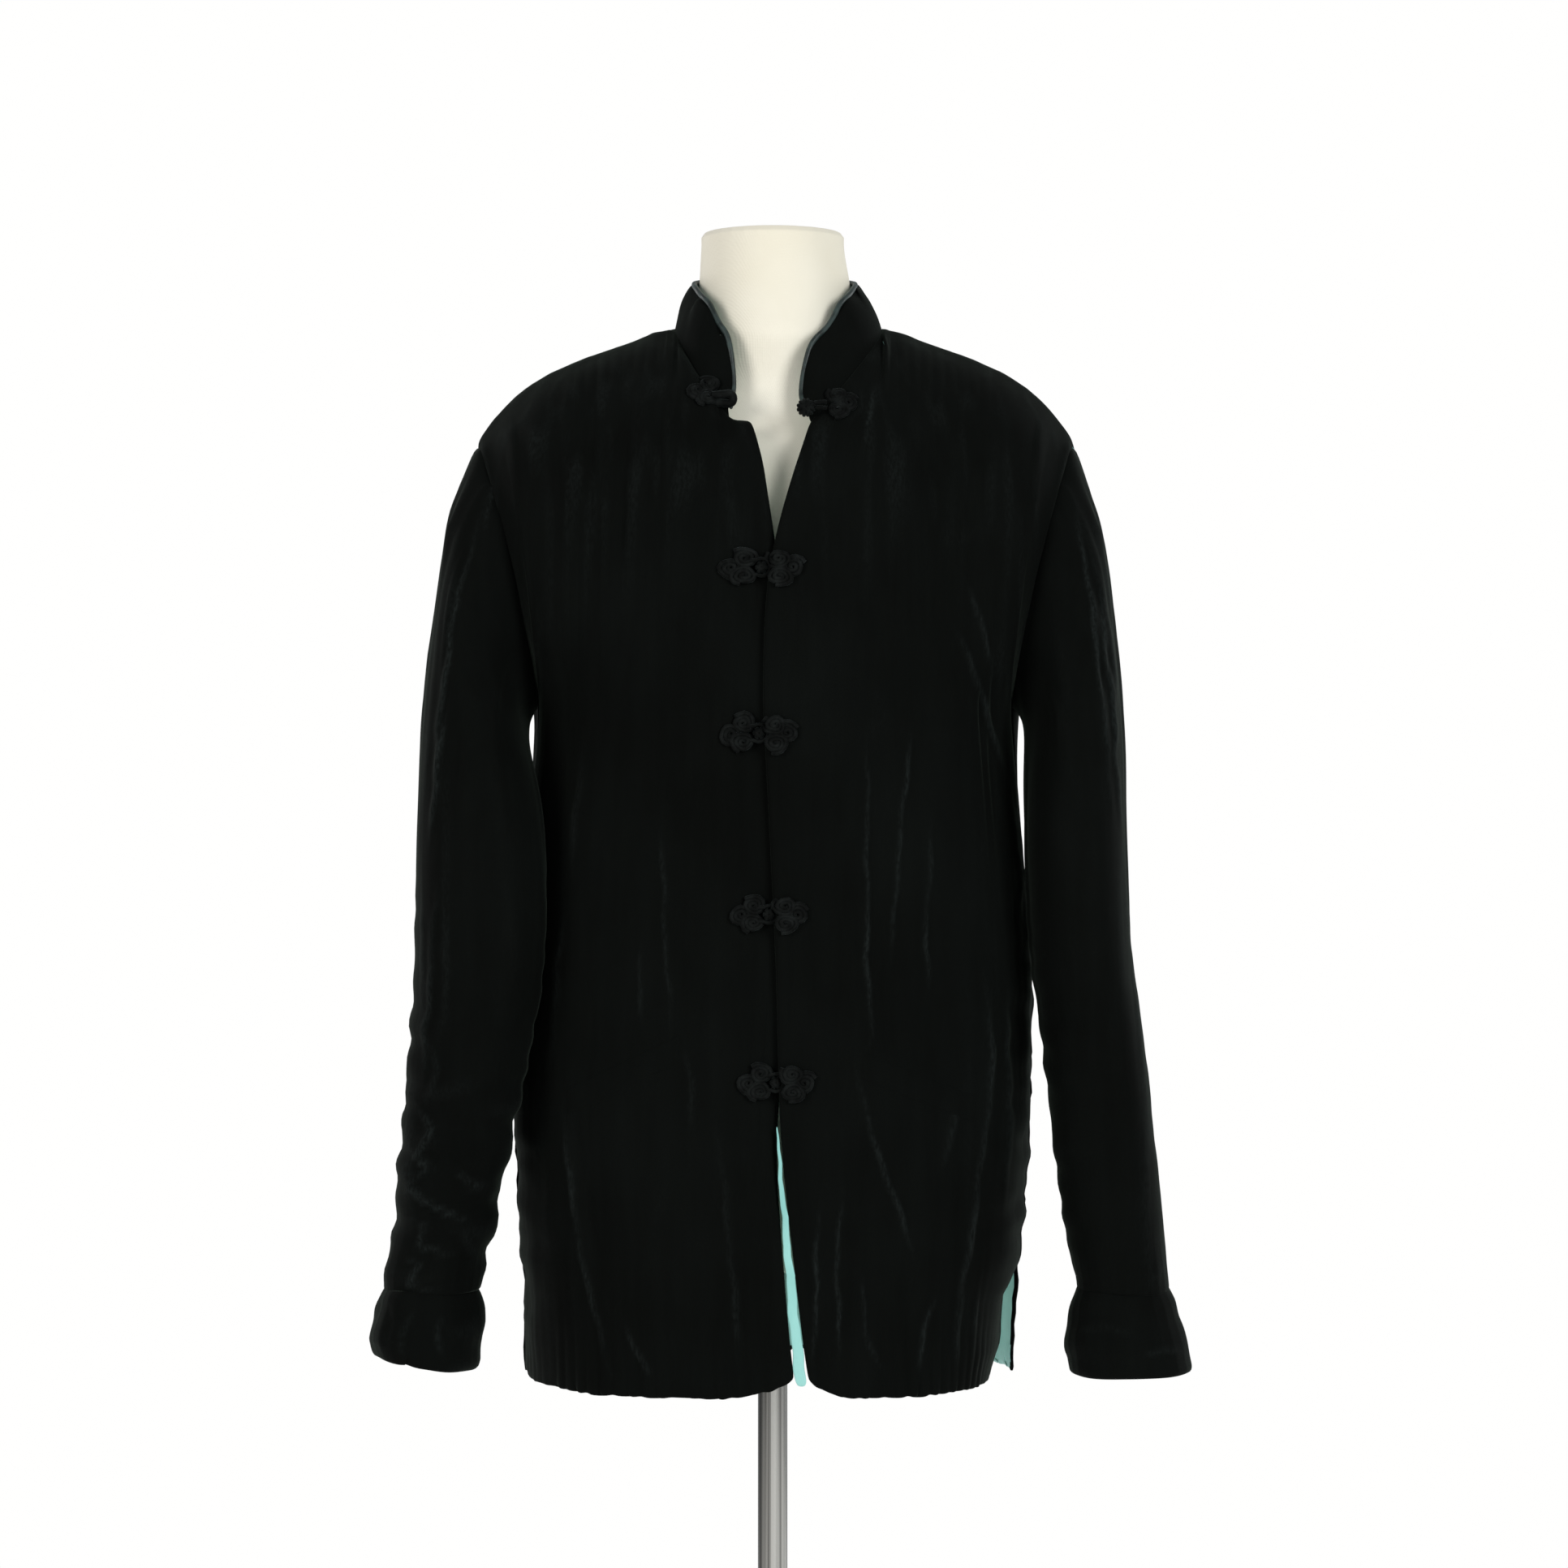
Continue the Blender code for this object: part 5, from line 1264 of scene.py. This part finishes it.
def collarNub():
    seat = middleOf("collar_loop")
    x, z = fromPhoto(collarEnds["nub"], seat.y)
    path = [Vector((x - 0.0110, seat.y + 0.0010, z - 0.0022))]
    for index in range(13):
        angle = -1.9 + 3.8 * index / 12
        path.append(Vector((x + collarEnds["nubSize"][0] * math.cos(angle), seat.y,
                            z + collarEnds["nubSize"][1] * math.sin(angle))))
    path.append(Vector((x - 0.0110, seat.y + 0.0010, z + 0.0022)))
    nub = cordObject("collarLoopEnd", [(path, False)], collarEnds["cord"], silkCord)
    declared(nub, "collar_loop")


collarBall()
collarNub()
print("frogs made")


# Dress form, pole and base

formSizes = {"shoulderDrop": 0.006, "neckLevel": 1.47, "lowerLevel": 0.785, "rimCrease": 0.7}


def shoulderShare(co):
    # The form's hidden shoulders lie a little under the cloth
    return ramped(abs(co.x), ((0.055, 0.0), (0.075, 1.0))) * ramped(co.z, ((1.20, 0.0), (1.30, 1.0)))


def dressForm():
    cage = mergedCopy("dress_form")
    layer = cage.edges.layers.float["crease_edge"]
    for edge in cage.edges:
        heights = [vert.co.z for vert in edge.verts]
        level = min(heights) > formSizes["neckLevel"] or max(heights) < formSizes["lowerLevel"]
        edge[layer] = formSizes["rimCrease"] if level else 0.0
    for face in cage.faces:
        face.smooth = True
    cage.normal_update()
    for vert, outwards in [(vert, vert.normal.copy()) for vert in cage.verts]:
        vert.co -= outwards * formSizes["shoulderDrop"] * shoulderShare(vert.co)
    mesh = shapedMesh({"name": "dressForm", "levels": 3}, cage)
    return finishedPiece("dressForm", mesh, (jersey,), "dress_form")


def turnedPiece(name, nodeName, profile, steps, material):
    # A profile of radius and height spun round the pole's axis
    work = bmesh.new()
    verts = [work.verts.new((radius, 0.0, height)) for radius, height in profile]
    edges = [work.edges.new(pair) for pair in zip(verts[:-1], verts[1:])]
    bmesh.ops.spin(work, geom=verts + edges, axis=(0, 0, 1), cent=(0, 0, 0), angle=2 * math.pi, steps=steps,
                   use_merge=True, use_duplicate=False)
    bmesh.ops.remove_doubles(work, verts=work.verts[:], dist=0.00001)
    bmesh.ops.recalc_face_normals(work, faces=work.faces[:])
    sharp = [e for e in work.edges if e.calc_face_angle(0.0) > 0.6]
    bmesh.ops.bevel(work, geom=sharp, offset=0.0008, affect="EDGES", segments=3, profile=0.5, material=-1)
    for face in work.faces:
        face.smooth = True
    mesh = bpy.data.meshes.new(name)
    work.to_mesh(mesh)
    work.free()
    return finishedPiece(name, mesh, (material,), nodeName)


standSizes = {"poleRadius": 0.010, "flangeRadius": 0.045, "flangeTop": 0.7797, "flangeUnder": 0.7757,
              "poleFoot": 0.0343, "plateRadius": 0.190, "plateEdge": 0.010, "hubRadius": 0.024,
              "hubTop": 0.034}


def pole():
    s = standSizes
    profile = ((0.0, s["flangeTop"]), (s["flangeRadius"], s["flangeTop"]),
               (s["flangeRadius"], s["flangeUnder"]),
               (s["poleRadius"] + 0.004, s["flangeUnder"] - 0.0012),
               (s["poleRadius"] + 0.0004, 0.7720), (s["poleRadius"], 0.7690),
               (s["poleRadius"], s["poleFoot"]), (0.0, s["poleFoot"]))
    return turnedPiece("poleTube", "pole", profile, 64, chrome)


def base():
    s = standSizes
    profile = ((0.0, s["hubTop"]), (s["hubRadius"], s["hubTop"]), (s["hubRadius"], s["plateEdge"] + 0.0070),
               (s["hubRadius"] + 0.006, s["plateEdge"] + 0.0058), (s["plateRadius"] - 0.006, s["plateEdge"]),
               (s["plateRadius"], s["plateEdge"] - 0.003), (s["plateRadius"], 0.0), (0.0, 0.0))
    return turnedPiece("standPlate", "stand_base", profile, 128, greyPaint)


dressForm()
pole()
base()
print("form and stand made")


# Stage, light and camera

stageLook = {
    "floorRadius": 2.6,
    "floorColour": (0.90, 0.895, 0.88, 1.0),
    "backdrop": (1.0, 0.998, 0.992, 1.0),
    "room": (0.95, 0.98, 1.0, 1.0),
    "roomStrength": 0.34,
}


def floor():
    work = bmesh.new()
    bmesh.ops.create_circle(work, cap_ends=True, segments=96, radius=stageLook["floorRadius"])
    mesh = bpy.data.meshes.new("floor")
    work.to_mesh(mesh)
    work.free()
    finish = Finish("paleFloor", {"Roughness": 0.7, "Specular IOR Level": 0.2})
    grain = finish.noise(finish.place(), 6.0, 3.0)
    finish.feed("Base Color", finish.mix(grain, stageLook["floorColour"], (0.93, 0.925, 0.915, 1.0)))
    mesh.materials.append(finish.material)
    obj = bpy.data.objects.new("floor", mesh)
    bpy.context.scene.collection.objects.link(obj)


def areaLight(name, place, target, size, energy, colour):
    data = bpy.data.lights.new(name, "AREA")
    data.shape = "RECTANGLE"
    data.size = size[0]
    data.size_y = size[1]
    data.energy = energy
    data.color = colour
    obj = bpy.data.objects.new(name, data)
    obj.location = place
    obj.rotation_euler = (Vector(target) - Vector(place)).to_track_quat("-Z", "Y").to_euler()
    bpy.context.scene.collection.objects.link(obj)


def sky():
    world = bpy.data.worlds.new("studio")
    world.use_nodes = True
    tree = world.node_tree
    background = tree.nodes["Background"]
    background.inputs["Color"].default_value = stageLook["room"]
    background.inputs["Strength"].default_value = stageLook["roomStrength"]
    seen = tree.nodes.new("ShaderNodeBackground")
    seen.inputs["Color"].default_value = stageLook["backdrop"]
    rays = tree.nodes.new("ShaderNodeLightPath")
    either = tree.nodes.new("ShaderNodeMixShader")
    tree.links.new(rays.outputs["Is Camera Ray"], either.inputs[0])
    tree.links.new(background.outputs[0], either.inputs[1])
    tree.links.new(seen.outputs[0], either.inputs[2])
    tree.links.new(either.outputs[0], tree.nodes["World Output"].inputs["Surface"])
    bpy.context.scene.world = world


def camera():
    data = bpy.data.cameras.new("camera")
    data.sensor_width = 36.0
    data.lens = 101.6
    obj = bpy.data.objects.new("camera", data)
    obj.location = photoView["eye"]
    obj.rotation_euler = (math.pi / 2, 0.0, 0.0)
    bpy.context.scene.collection.objects.link(obj)
    bpy.context.scene.camera = obj


floor()
sky()
areaLight("keyLight", (2.1, -2.4, 2.1), (0.0, 0.0, 1.1), (1.2, 1.8), 68.0, (0.97, 0.99, 1.0))
areaLight("fillLight", (-2.3, -2.3, 1.8), (0.0, 0.0, 1.05), (1.2, 1.8), 50.0, (1.0, 0.985, 0.97))
areaLight("rimLeft", (-1.9, 1.5, 1.5), (0.0, 0.0, 1.05), (1.0, 2.0), 16.0, (1.0, 1.0, 1.0))
areaLight("rimRight", (1.9, 1.5, 1.5), (0.0, 0.0, 1.05), (1.0, 2.0), 16.0, (0.96, 0.99, 1.0))
camera()
bpy.context.scene.view_settings.view_transform = "Standard"
print("stage, light and camera set")
